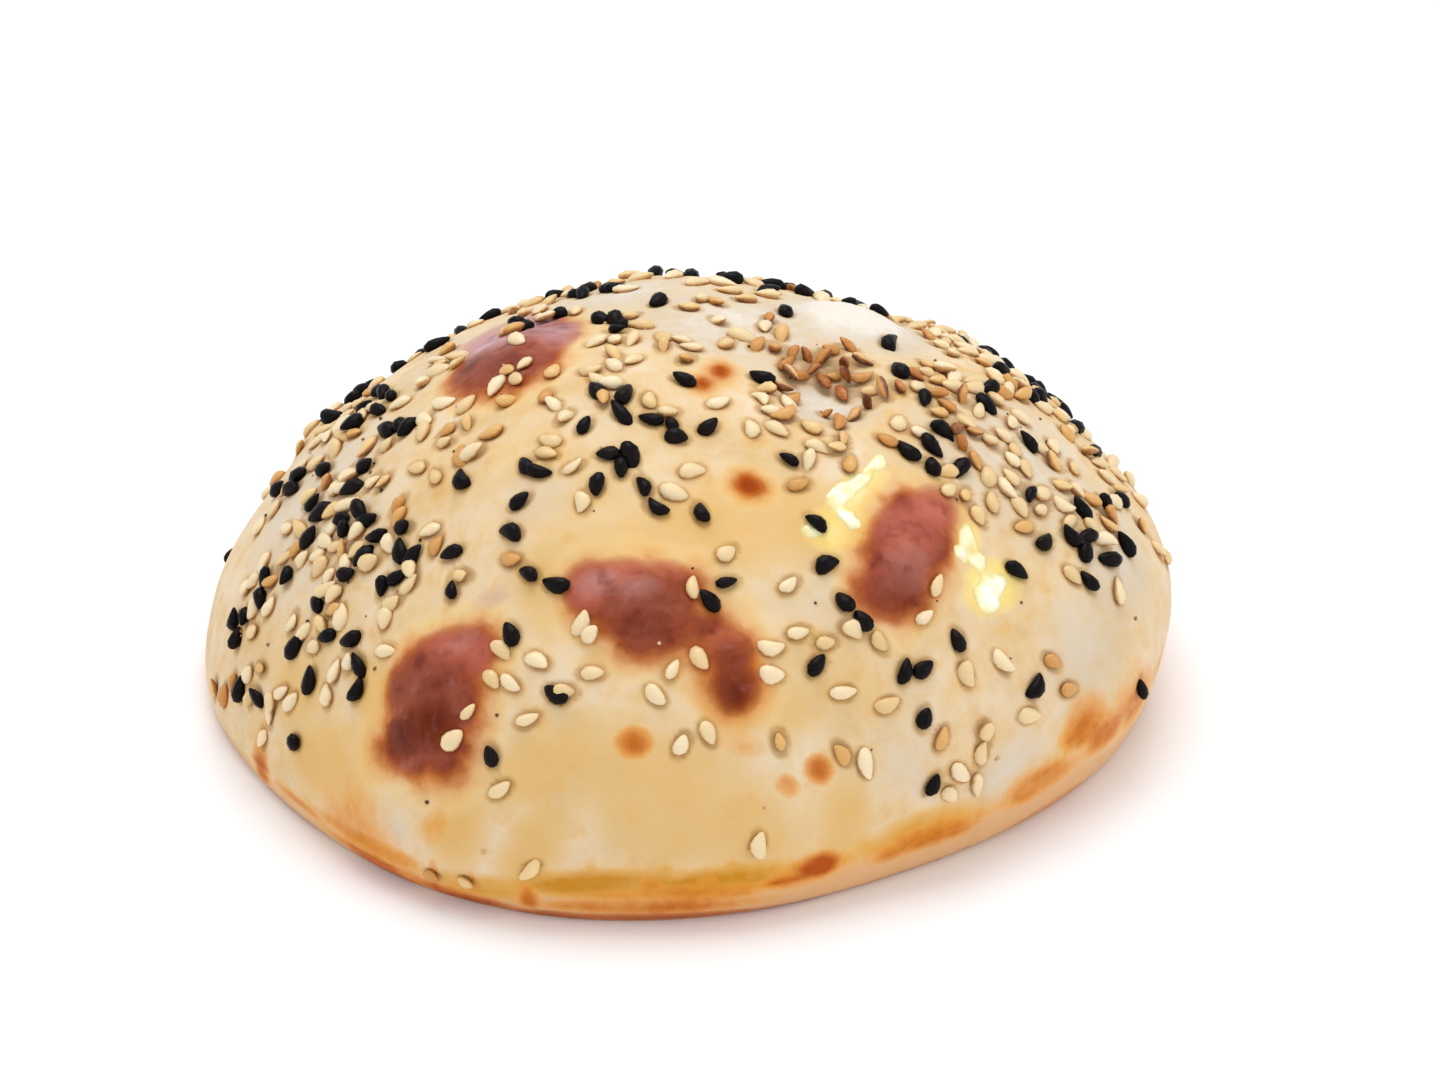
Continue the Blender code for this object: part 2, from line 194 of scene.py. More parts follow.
# Blisters whose skin has darkened: ovals in plan mm that melt into one stain (x, y, half width, half length,
# lean). The patches on them have their strength last
stains = {
    "edges": (
        (-28.2, -41.2, 6.2, 6.0, 10), (-25.6, -43.4, 4.0, 6.0, 8), (-31.6, -39.4, 3.0, 3.6, 0),
        (-24.0, -40.8, 3.4, 3.2, 0), (-28.6, -45.4, 4.0, 3.8, 20), (-26.0, -47.2, 3.2, 3.0, 0),
        (-32.0, -42.8, 3.2, 3.2, 0), (-34.2, -41.6, 1.5, 1.8, 0), (-23.0, -41.0, 2.6, 3.0, 0),
        (-24.2, -47.2, 2.0, 2.6, 0),
        (-4.8, -40.6, 7.0, 5.2, 0), (-9.8, -39.0, 3.2, 3.6, 0), (-4.0, -42.8, 4.8, 3.9, 0),
        (0.2, -39.2, 3.2, 3.6, 0), (3.2, -42.2, 3.4, 3.0, -30), (5.0, -44.4, 3.7, 3.9, -10),
        (5.6, -45.9, 3.6, 3.5, 0), (5.9, -47.0, 3.5, 3.3, 0),
        (23.0, -33.2, 4.8, 5.0, 20), (25.4, -29.0, 4.9, 5.8, 35), (27.4, -25.6, 3.2, 4.4, 30),
        (28.6, -23.4, 2.0, 2.2, 20), (21.6, -35.4, 3.0, 2.2, 0), (25.4, -33.4, 2.8, 2.6, 0),
        (22.6, -29.6, 2.6, 4.4, 30), (28.2, -28.6, 2.4, 4.4, 15), (24.6, -25.0, 2.8, 3.2, 0),
        (-20.4, -2.4, 7.6, 8.8, 0), (-23.8, -2.6, 4.0, 5.4, 0), (-17.4, -6.0, 4.6, 3.8, 0),
        (-15.8, 1.6, 3.8, 6.0, 0), (-21.0, 7.6, 5.8, 5.8, 0), (-17.0, 6.8, 3.4, 4.6, 0),
    ),
    # The blisters' char, darkest on their lower sides, where it is partly painted shade of the raised skin
    "charredAndShaded": (
        (-30.4, -43.4, 4.8, 3.4, 20, 1.0), (-27.2, -44.6, 4.2, 3.8, 20, 1.0),
        (-26.6, -47.6, 2.8, 2.2, 0, 0.2), (-27.0, -42.2, 3.6, 2.6, 0, 0.5),
        (-4.4, -42.6, 4.4, 2.4, 0, 0.5), (-2.6, -40.2, 3.4, 3.0, 0, 0.25), (-7.2, -42.8, 2.8, 1.8, 0, 0.3),
        (6.0, -47.0, 2.2, 2.5, 0, 0.9), (5.9, -46.8, 3.7, 3.5, 0, 0.6), (5.4, -45.0, 2.6, 3.0, 0, 0.34),
        (23.4, -33.8, 4.4, 3.6, 15, 0.36), (25.6, -31.0, 2.6, 3.6, 20, 0.2),
        (-24.8, -0.8, 2.0, 2.6, 10, 0.8), (-17.4, -3.0, 1.3, 1.8, 10, 0.5), (-20.0, -5.0, 4.4, 3.6, 0, 0.32),
    ),
    # Painted sheen: the rosy reflection of the overhead light on the blisters' upper sides
    "paintedRosySheen": (
        (-25.6, -39.4, 5.6, 2.8, 30, 0.9), (-22.8, -41.2, 2.8, 3.0, 0, 0.9), (-10.6, -38.8, 3.4, 4.0, 0, 0.9),
        (-7.0, -37.8, 4.2, 2.6, 0, 0.8), (-1.6, -37.4, 3.6, 1.8, 0, 0.5), (27.6, -24.6, 3.8, 5.6, 30, 1.05),
        (24.8, -28.6, 4.8, 5.4, 30, 1.0), (22.6, -32.6, 3.0, 4.0, 20, 0.6), (-16.0, -1.0, 4.4, 7.0, 0, 0.6),
        (-20.5, 2.0, 6.8, 5.0, 0, 0.45), (4.4, -43.0, 2.6, 2.2, 0, 0.3),
    ),
    # Painted sheen: the mauve reflection of the white air on the tight skin of the blisters' upper parts
    "paintedMauveSheen": (
        (-21.4, 9.0, 8.0, 8.4, 0, 1.5), (-20.0, 1.0, 4.0, 4.6, 0, 0.5), (-14.6, 1.6, 3.4, 7.4, 0, 0.8),
        (-9.4, -38.6, 3.6, 2.6, 0, 0.5), (-5.0, -39.4, 4.0, 2.2, 0, 0.4), (-21.6, -36.8, 3.4, 2.0, 0, 0.3),
        (24.6, -32.0, 4.0, 4.0, 20, 0.35), (-24.8, -39.4, 3.2, 2.0, 0, 0.3),
    ),
    "pinpricks": ((7.5, -26.8, 2.3, 2.1, 0), (4.3, -9.4, 1.5, 1.9, 0), (2.2, -12.8, 1.4, 1.6, 0)),
    "amber": (
        (-5.3, -51.0, 2.7, 2.3, 0, 0.85), (15.5, -49.1, 2.4, 2.1, 0, 0.88), (11.9, -50.9, 2.1, 1.7, 0, 0.58),
        (-15.0, -52.4, 5.0, 3.0, 0, 0.16), (5.9, -46.8, 5.6, 5.6, 0, 0.7), (6.6, -50.0, 4.0, 2.0, 0, 0.35),
        (-27.5, -49.2, 3.6, 2.0, 0, 0.4), (-27.6, -46.0, 6.0, 5.6, 10, 0.6),
    ),
    "ragged": ((4.0, 0.85, 66), (1.7, 0.5, 66), (0.8, 0.2, 66)),  # clouds that push the edge in and out
    "blend": 0.9,
    "pinprickBlend": 0.6,
    "pinprickRagged": 0.4,
    "furthest": 8,  # the most that a gap counts
}

# Browning of the foot, seen unrolled, with painted contact shadow along its bottom edge: bearing, down,
# half bearing, half down, strength
foot = {
    "toast": (
        (205.5, 1.10, 2.8, 0.2, 1.1), (205.5, 1.34, 2.4, 0.24, 0.95), (216, 1.24, 9, 0.14, 0.55),
        (228, 1.12, 10, 0.24, 0.54), (235, 1.2, 5, 0.2, 0.5), (230, 1.44, 10, 0.18, 0.8),
        (241, 1.54, 8, 0.18, 0.65), (253, 1.42, 1.6, 0.24, 0.7), (241, 1.20, 0.9, 0.20, 0.4),
        (246, 1.22, 0.9, 0.18, 0.4),
        (268, 1.50, 17, 0.14, 0.7), (270, 1.33, 14, 0.12, 0.5), (278, 1.34, 5, 0.12, 0.5),
        (268, 1.24, 2.0, 0.14, 0.5), (275, 1.22, 1.6, 0.10, 0.4),
        (289.2, 1.26, 3.8, 0.13, 1.15), (284.8, 1.31, 4.0, 0.08, 0.85), (288, 1.27, 6.5, 0.17, 0.5),
        (305, 1.33, 11, 0.15, 0.6), (300, 1.37, 4, 0.10, 0.66), (310, 1.36, 4, 0.11, 0.66),
        (323, 1.26, 8, 0.16, 0.74), (331, 1.06, 5, 0.15, 0.72), (335, 1.18, 5, 0.15, 0.8),
        (341, 1.12, 6, 0.2, 0.6), (351, 1.10, 8, 0.12, 0.35), (300, 1.92, 34, 0.09, 0.5),
        (20, 1.12, 26, 0.16, 0.5), (62, 1.18, 20, 0.18, 0.6), (100, 1.10, 24, 0.16, 0.5),
        (140, 1.18, 22, 0.20, 0.6), (172, 1.12, 14, 0.16, 0.5),
    ),
    "gold": (
        (262, 1.20, 13, 0.20, 1.08), (277, 1.24, 11, 0.17, 1.05), (261, 1.07, 1.2, 0.11, 0.7),
        (270, 1.10, 1.4, 0.11, 0.6), (278, 1.09, 1.1, 0.09, 0.5),
        (231, 1.18, 9, 0.18, 0.6), (247, 1.30, 9, 0.22, 0.6), (304, 1.24, 13, 0.17, 0.7),
        (330, 1.07, 6, 0.12, 0.5), (321, 1.20, 8, 0.20, 0.4), (216, 1.10, 9, 0.12, 0.3),
    ),
    # Browned bottom edge; where it meets the table it is partly painted contact shadow
    "scorchAndContactShade": (
        (232, 1.68, 8, 0.23, 0.85), (245, 1.68, 7, 0.20, 0.9), (212, 1.86, 12, 0.12, 0.6),
        (240.5, 1.58, 1.0, 0.20, 0.7), (256, 1.78, 9, 0.18, 0.8), (269, 1.74, 17, 0.16, 0.8),
        (285, 1.88, 9, 0.12, 0.6), (328, 1.75, 12, 0.2, 0.35), (30, 1.8, 40, 0.25, 0.5),
        (100, 1.8, 40, 0.25, 0.5), (165, 1.8, 35, 0.25, 0.5),
    ),
    "patchy": ((7.0, 0.16, 67), (2.6, 0.12, 67)),  # clouds that weaken and strengthen it
    "blotchEdge": (1.35, 1.1),  # the share where a blotch has gone, and the shares over which it goes
    "lip": (0.75, 0.25, 0.8),  # strength all round, how much it varies, and by what turn
    "lipEdge": (1.08, 0.35),  # down where it begins, and the way to its full strength
    "baseEdge": (1.97, 0.08),  # the same for the browned underside
}

# Small forms in the dough: clouds, the blisters' wrinkled skin, a crease through plan points, a groove round
# the right of the foot, and pocks in the underside. Clouds are rows of grain, height and seed
doughDetail = {
    "clouds": ((9.0, 0.10, 40), (4.2, 0.05, 41), (2.0, 0.022, 42)),
    "skin": ((1.5, 0.035, 50),),
    "skinEdge": 1.5,
    "crease": ((30.6, -33.2), (31.5, -36.2), (32.0, -38.6), (33.6, -40.4)),
    "creaseDepth": 0.45,
    "creaseWidth": 0.7,
    "grooveBearing": 315,
    "grooveHalfTurn": 30,
    "grooveDown": 1.52,
    "grooveHalfDown": 0.1,
    "grooveDepth": 0.32,
    "end": (1.9, 0.6),  # down where all but the pocks have faded out, and the way over which they fade
    "pocks": ((5.0, 1.0, 60), (2.2, 0.5, 61)),
    "pockDepth": 0.35,
    "pockRate": 12,  # they reach full depth a twelfth of the way in
}


# Slow unevenness: a few sine waves in random directions, each height * sin(2 pi * distance / length + phase)
def swell(points):
    draw = np.random.default_rng(dome["swellSeed"])
    height = np.zeros(points.shape[:-1])
    for length, rise, count in dome["swells"]:
        for _ in range(count):
            heading = draw.normal(size=3)
            heading /= np.linalg.norm(heading)
            height += rise * np.sin(2 * math.pi / length * (points @ heading) + draw.uniform(0, 2 * math.pi))
    return height


# Least distance in plan to a chain of straight lines: from each, the length of offset - share * run, where
# share is how far along the line the point lies, held between 0 and 1
def chainDistance(points, chain):
    nearest = np.full(points.shape[:-1], np.inf)
    for start, end in zip(chain, chain[1:]):
        run = np.array(end) - np.array(start)
        offset = points[..., :2] - np.array(start)
        share = np.clip(offset @ run / (run @ run), 0, 1)
        nearest = np.minimum(nearest, np.linalg.norm(offset - share[..., None] * run, axis=-1))
    return nearest


# Height of the crust over the smooth dome: swell, bumps of rise * (1 - share squared)^1.5, clouds, and less a
# crease and a groove that are depth * exp(-(distance / half width) squared)
def relief(points, bearing, down):
    height = swell(points)
    for x, y, halfWidth, halfLength, lean, rise in dome["bumps"]:
        share = np.clip(spotShare(points, x, y, halfWidth, halfLength, lean), 0, 1)
        height += rise * (1 - share ** 2) ** 1.5
    inside = smooth(-joinedGap(points, stains["edges"]) / doughDetail["skinEdge"])
    height += clouds(points, doughDetail["clouds"]) + inside * clouds(points, doughDetail["skin"])
    crease = chainDistance(points, doughDetail["crease"]) / doughDetail["creaseWidth"]
    height -= doughDetail["creaseDepth"] * np.exp(-crease ** 2)
    turn = (np.degrees(bearing) % 360 - doughDetail["grooveBearing"]) / doughDetail["grooveHalfTurn"]
    groove = (down - doughDetail["grooveDown"]) / doughDetail["grooveHalfDown"]
    height -= doughDetail["grooveDepth"] * np.exp(-turn ** 2) * np.exp(-groove ** 2)
    end, fade = doughDetail["end"]
    return height * np.clip((end - down) / fade, 0, 1)


# The real crust: the dome's point moved along its normal by the relief. Past down 2 it is the flat underside,
# whose radius shrinks to nothing at down 3 and whose pocks rise from the table
def crustPoint(bearing, down):
    points = domePoint(bearing, down)
    points = points + outward(domePoint, bearing, down) * relief(points, bearing, down)[..., None]
    inwards = np.clip(down - 2, 0, 1)[..., None]
    middle = np.array((dome["crown"][0], dome["crown"][1], 0.0))
    points = points + (middle - points) * inwards
    pocks = np.clip(clouds(points, doughDetail["pocks"]), 0, 1)
    points[..., 2] += doughDetail["pockDepth"] * pocks * smooth(inwards[..., 0] * doughDetail["pockRate"])
    return points


# Seeds, thrown on by the pinch: plan x and y, spread, then how many black, white, toasted and scorched ones
seeds = {
    "seed": 5,
    "pinches": (
        # Left shoulder
        (-42, 5, 4, 2, 9, 3, 0), (-38, 3, 2.4, 5, 3, 1, 0), (-38, -9, 2.8, 5, 7, 3, 0),
        (-44, -14, 3.2, 4, 9, 3, 0), (-40, -18, 2, 5, 4, 1, 0), (-42, -24, 2.2, 1, 4, 1, 0),
        (-34, -25, 2.4, 6, 4, 1, 0), (-51, -13, 2.6, 4, 4, 3, 0), (-46, 1, 2.6, 3, 3, 1, 0),
        (-33, -32, 2, 0, 4, 0, 0), (-39, -24, 2.4, 1, 5, 1, 0), (-49, -26, 1.6, 0, 4, 0, 0),
        (-35, -6, 1.2, 2, 0, 1, 0), (-30, 5, 4, 0, 6, 2, 0), (-29, -15, 4, 0, 6, 6, 0),
        (-52, -22, 2.4, 1, 3, 2, 0),
        # Over the top
        (-14, 22, 3, 4, 9, 3, 0), (-8, 16, 1.4, 2, 1, 0, 0), (-18, 11, 2.4, 3, 5, 1, 0),
        (-8, 0, 2.4, 4, 5, 0, 0), (4, 14, 5, 2, 6, 3, 0), (-9, -13, 2, 3, 4, 2, 0),
        (-1, -20, 1.5, 4, 1, 1, 0), (-16, -23, 1.4, 2, 2, 0, 0), (-8, -27, 1.8, 5, 1, 0, 0),
        (-20, -12, 4, 0, 6, 4, 0), (-3, -6, 3.4, 0, 4, 2, 0), (9, 21, 3, 3, 2, 1, 0),
        # Round the hollow, where many are burnt
        (9, 2, 2, 0, 3, 2, 1), (13, -4, 1.3, 0, 0, 1, 5), (18, -3, 1.7, 0, 0, 1, 8),
        (21, -7, 1.2, 0, 0, 1, 5), (11, -12, 1.4, 0, 2, 2, 1), (11, -18, 1.6, 0, 3, 2, 0),
        (15, -21, 1.2, 0, 2, 2, 1), (29, -6, 1.5, 0, 0, 1, 3), (34, -13, 2, 0, 0, 1, 3),
        # Right shoulder
        (20, 25, 3.6, 5, 9, 2, 0), (34, 22, 2.4, 3, 7, 1, 0), (32, 15, 4, 0, 14, 2, 0),
        (40, 10, 3, 4, 13, 4, 0), (46, 12, 2.2, 2, 2, 0, 0), (31, -4, 2.6, 4, 11, 5, 0),
        (38, -7, 4, 1, 9, 3, 0), (28, -17, 2.2, 4, 3, 2, 0), (50, 3, 3, 2, 7, 3, 0),
        (46, -10, 2.6, 4, 6, 2, 0), (39, -15, 3.2, 2, 6, 3, 0), (45, -18, 2.4, 4, 2, 0, 0),
        (54, -6, 3, 0, 3, 1, 0),
        # Behind
        (-28, 32, 6, 10, 12, 4, 0), (-44, 24, 5, 9, 9, 2, 0), (2, 38, 6, 10, 12, 4, 0),
        (26, 42, 6, 9, 10, 3, 0), (46, 28, 5, 8, 9, 2, 0), (-12, 48, 5, 6, 8, 2, 0),
        (-48, 14, 3, 1, 4, 1, 0),
    ),
    # The ones that lie alone: plan x and y, bearing of the tip
    "lone": {
        "black": (
            (-21, -49, 110), (-14, -47, 150), (-19, -41, 110), (-14, -38, 160), (-17, -36, 140),
            (-26, -34, 90), (-26, -30, 170), (-25, -22, 110), (-19, -31, 140), (-18, -28, 20),
            (-3, -31, 150), (0, -13, 160), (-11, -20, 60), (2, -31, 110), (12, -23, 150),
            (15, -30, 150), (16, -34, 30), (5, -38, 20), (3, -40, 150), (18, -37, 140),
            (20, -38, 150), (31, -35, 120), (15, -43, 50), (25, -40, 70), (27, -39, 40),
            (27, -42, 70), (40, -33, 60), (28, -44, 40), (52.4, -20.2, 151), (38, -25, 0),
            (-45, -32, 130), (-50, -23, 110), (9, -10, 160), (12, 9, 100), (24, 5, 80),
            (25, -3, 110), (-30, 19, 20), (-45, -25, 20), (-41, -28, 150), (-43, -30, 70),
            (-38, -31, 160), (-37, -34, 110), (-37, -36, 40),
        ),
        "white": (
            (-11, -30, 270), (1, -26, 20), (-1, -29, 350), (4, -16, 30), (-19, -1, 300),
            (-19, -9, 310), (-11, -42, 40), (-10, -43, 10), (-20, -42, 310), (-21, -44, 310),
            (-19, -45, 320), (-16, -44, 330), (-10, -46, 0), (-13, -47, 350), (-17, -48, 0),
            (-23.5, -45.4, 30), (-25, -46.5, 10), (-1, -46, 50), (-3, -48, 330), (0, -51, 50),
            (5, -35, 40), (12, -37, 40), (10, -43, 10), (13, -41, 20), (16, -41, 20),
            (10, -45, 10), (2, -45, 310), (19, -39, 0), (22, -39, 340), (23, -43, 30),
            (34, -39, 310), (33, -41, 20), (36, -34, 340), (39, -35, 40), (20.5, -47, 300),
            (33.5, -40, 70), (31, -42, 20), (8.4, -53.4, 60), (3, -50, 310), (28, -32, 60),
            (27, -35, 40), (18, -44, 20), (1, -39, 90), (32, -37, 300), (30, -43, 20),
            (-20, -51, 0), (-38, -33, 0), (-40, -32, 60), (-41, -33, 100),
        ),
        "toasted": (
            (29, -42, 60), (42, -30, 20), (44, -30, 40), (11, -49, 120), (18, -47.5, 160), (-19, -34, 330),
            (-28, -28, 60), (-25, -33, 330), (32, -20, 70), (13, -26, 20), (-17, -54.3, 179), (-21, 10, 40),
            (-28.8, -50.6, 331), (-24.8, -52.7, 339),  # on the foot
        ),
        "scorched": (
            (17, -13, 300), (20, -13, 240), (18, -16, 270), (18, -19, 270), (12, -5, 60), (21, -2, 350),
        ),
    },
    "nearest": 1.7,  # no two of a pinch's seeds lie nearer
    "throws": 12,  # tries at each before it is left out
    "lowest": 0.96,  # down past which none of them sticks
    "sizes": {  # length, width, thickness
        "black": (3.1, 1.85, 1.45), "white": (2.95, 1.8, 1.15), "toasted": (2.85, 1.65, 1.15),
        "scorched": (2.8, 1.25, 1.0),
    },
    "sizeSpread": 0.08,
    "tiltSpread": {"black": 10, "white": 10, "toasted": 12, "scorched": 28},
    "lift": {"black": 0.42, "white": 0.26, "toasted": 0.28, "scorched": 0.5},
    "heap": (1.8, 0.4, 0.6, 2),  # others nearer than this lift and unsettle it so much each, up to two
    "slopeStep": 6e-3,  # over which the dough's slope is measured, as a seed bridges what is smaller
    "steepest": 0.15,  # the least upward share of the normal that a seed's heading follows
    "rings": (-0.90, -0.48, 0.02, 0.50, 0.86),  # along the seed, from -1 at the blunt end to 1 at the tip
    "around": 8,
    # The edge mask browns the toasted rim and paints shade on each seed's underside
    "edge": (0.15, 1.3),  # the mask of its edge starts this far below the middle and fades so fast
    "shapeSeed": 70,
    "shapeSpread": (0.09, 0.2),  # of length, width and thickness, and its most
    "bendSpread": 0.10,
}


# Every seed as kind, plan x, plan y, bearing of its tip, size, tilt, roll and lift. A pinch's seed falls at
# its middle + spread * a normal number each way, and one too near another falls again
def strewSeeds():
    draw = np.random.default_rng(seeds["seed"])
    strewn, laid = [], []

    def lay(kind, x, y, heading):
        point = domePoint(*domePlace(x, y))
        reach, step, unrest, most = seeds["heap"]
        below = min(sum(np.linalg.norm(point - other) < reach for other in laid), most)
        laid.append(point)
        size = 1 + seeds["sizeSpread"] * draw.normal()
        tilt, roll = seeds["tiltSpread"][kind] * draw.normal(size=2) * (1 + unrest * below)
        strewn.append((kind, x, y, heading, size, tilt, roll, seeds["lift"][kind] + step * below))

    for kind, places in seeds["lone"].items():
        for x, y, heading in places:
            lay(kind, x, y, heading)
    for x, y, spread, *counts in seeds["pinches"]:
        for kind in np.repeat(("black", "white", "toasted", "scorched"), counts).tolist():
            for _ in range(seeds["throws"]):
                nearX, nearY = np.array((x, y)) + spread * draw.normal(size=2)
                bearing, down = domePlace(nearX, nearY)
                point = domePoint(bearing, down)
                apart = np.linalg.norm(np.array(laid) - point, axis=1).min()
                if down < seeds["lowest"] and apart > seeds["nearest"]:
                    lay(kind, nearX, nearY, draw.uniform(0, 360))
                    break
    return strewn


# Places of the seeds on the crust, and their frames: along the seed (its bearing in plan, lifted on to the
# slope), across it and out of the crust, turned by the tilt about the cross axis and by the roll about the
# long one, each as cos(angle) * one axis + or - sin(angle) * the other
def seatSeeds(rows):
    x, y, heading, size, tilt, roll, lift = np.array([row[1:] for row in rows]).T
    bearing, down = domePlace(x, y)
    normal = outward(crustPoint, bearing, down, seeds["slopeStep"])
    point = crustPoint(bearing, down)
    turn = np.radians(heading)
    fall = normal[:, 0] * np.cos(turn) + normal[:, 1] * np.sin(turn)
    climb = -fall / np.maximum(normal[:, 2], seeds["steepest"])
    along = np.stack((np.cos(turn), np.sin(turn), climb), -1)
    along /= np.linalg.norm(along, axis=-1, keepdims=True)
    across = np.cross(normal, along)
    tilt, roll = np.radians(tilt)[:, None], np.radians(roll)[:, None]
    leaned = np.cos(tilt) * along - np.sin(tilt) * normal
    raised = np.cos(tilt) * normal + np.sin(tilt) * along
    return {
        "point": point, "normal": normal, "flat": along, "flatAcross": across, "size": size, "lift": lift,
        "along": leaned, "across": np.cos(roll) * across + np.sin(roll) * raised,
        "out": np.cos(roll) * raised - np.sin(roll) * across,
    }


# Makes a mesh object from points in mm, faces, one float attribute per name, and a material
def makePiece(name, points, faces, fields, material):
    mesh = bpy.data.meshes.new(name)
    mesh.from_pydata((points * mm).tolist(), [], faces)
    for field, values in fields.items():
        layer = mesh.attributes.new(field, "FLOAT", "POINT")
        layer.data.foreach_set("value", np.asarray(values, dtype=np.float32).ravel())
    mesh.shade_smooth()
    mesh.materials.append(material)
    piece = bpy.data.objects.new(name, mesh)
    bpy.context.collection.objects.link(piece)
    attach(piece, "root")
    print(name, len(points), "points", len(mesh.loops) - 2 * len(mesh.polygons), "triangles")
    return piece


# Faces of rows of points round an axis, with one point shutting each end, for so many copies of the form
def skinFaces(rows, around, copies=1):
    index = np.arange(rows * around).reshape(rows, around)
    after = np.roll(index, -1, axis=1)
    quads = np.stack((index[:-1], index[1:], after[1:], after[:-1]), -1).reshape(-1, 4)
    first, last = rows * around, rows * around + 1
    top = np.stack((np.full(around, first), index[0], after[0]), -1)
    base = np.stack((np.full(around, last), after[-1], index[-1]), -1)
    starts = (last + 1) * np.arange(copies)[:, None, None]
    ends = np.concatenate((top, base)) + starts
    return (quads + starts).reshape(-1, 4).tolist() + ends.reshape(-1, 3).tolist()


# sRGB hex to linear red, green and blue
def tone(hexValue, alpha=1.0):
    channels = [int(hexValue[i:i + 2], 16) / 255 for i in (1, 3, 5)]
    linear = [c / 12.92 if c <= 0.04045 else ((c + 0.055) / 1.055) ** 2.4 for c in channels]
    return (*linear, alpha)


# Fills a node's sockets, by name or number, with values or with other nodes' outputs
def plug(tree, node, sockets):
    for name, value in sockets.items():
        if isinstance(value, bpy.types.NodeSocket):
            tree.links.new(value, node.inputs[name])
        else:
            node.inputs[name].default_value = value


# Adds a node: settings are its own properties, sockets are what plug takes, and stops are a colour ramp's
# (place, hex, alpha)
def addNode(tree, kind, settings=None, sockets=None, stops=None):
    node = tree.nodes.new(kind)
    for name, value in (settings or {}).items():
        setattr(node, name, value)
    plug(tree, node, sockets or {})
    if stops:
        ramp = node.color_ramp
        while len(ramp.elements) < len(stops):
            ramp.elements.new(0.5)
        for element, (place, hexValue, alpha) in zip(ramp.elements, stops):
            element.position = place
            element.color = tone(hexValue, alpha)
    return node


# An empty material with its Principled shader, ready for nodes
def newMaterial(name):
    material = bpy.data.materials.new(name)
    material.use_nodes = True
    tree = material.node_tree
    return material, tree, tree.nodes["Principled BSDF"]


# Noise repeats per metre for blotches of a size in mm
def perMetre(size):
    return 1000 / size


# Lays colours over one another, from a colour or an output that is under them all. A layer is an attribute,
# how far noise wobbles it, its lowest and highest value, and stops in between as (value, hex, cover)
def layColours(tree, under, wobble, layers):
    colour = under
    for field, reach, low, high, stops in layers:
        value = addNode(tree, "ShaderNodeAttribute", {"attribute_name": field}).outputs["Fac"]
        wobbled = addNode(tree, "ShaderNodeMath", {"operation": "MULTIPLY_ADD"}, {
            0: wobble, 1: reach, 2: value,
        })
        share = addNode(tree, "ShaderNodeMapRange", {}, {
            "Value": wobbled.outputs[0], "From Min": low + reach / 2, "From Max": high + reach / 2,
        })
        placed = [((at - low) / (high - low), hexValue, cover) for at, hexValue, cover in stops]
        ramp = addNode(tree, "ShaderNodeValToRGB", {}, {"Fac": share.outputs["Result"]}, placed)
        mixed = addNode(tree, "ShaderNodeMix", {"data_type": "RGBA"}, {
            0: ramp.outputs["Alpha"], 6: colour, 7: ramp.outputs["Color"],
        })
        colour = mixed.outputs[2]
    return colour


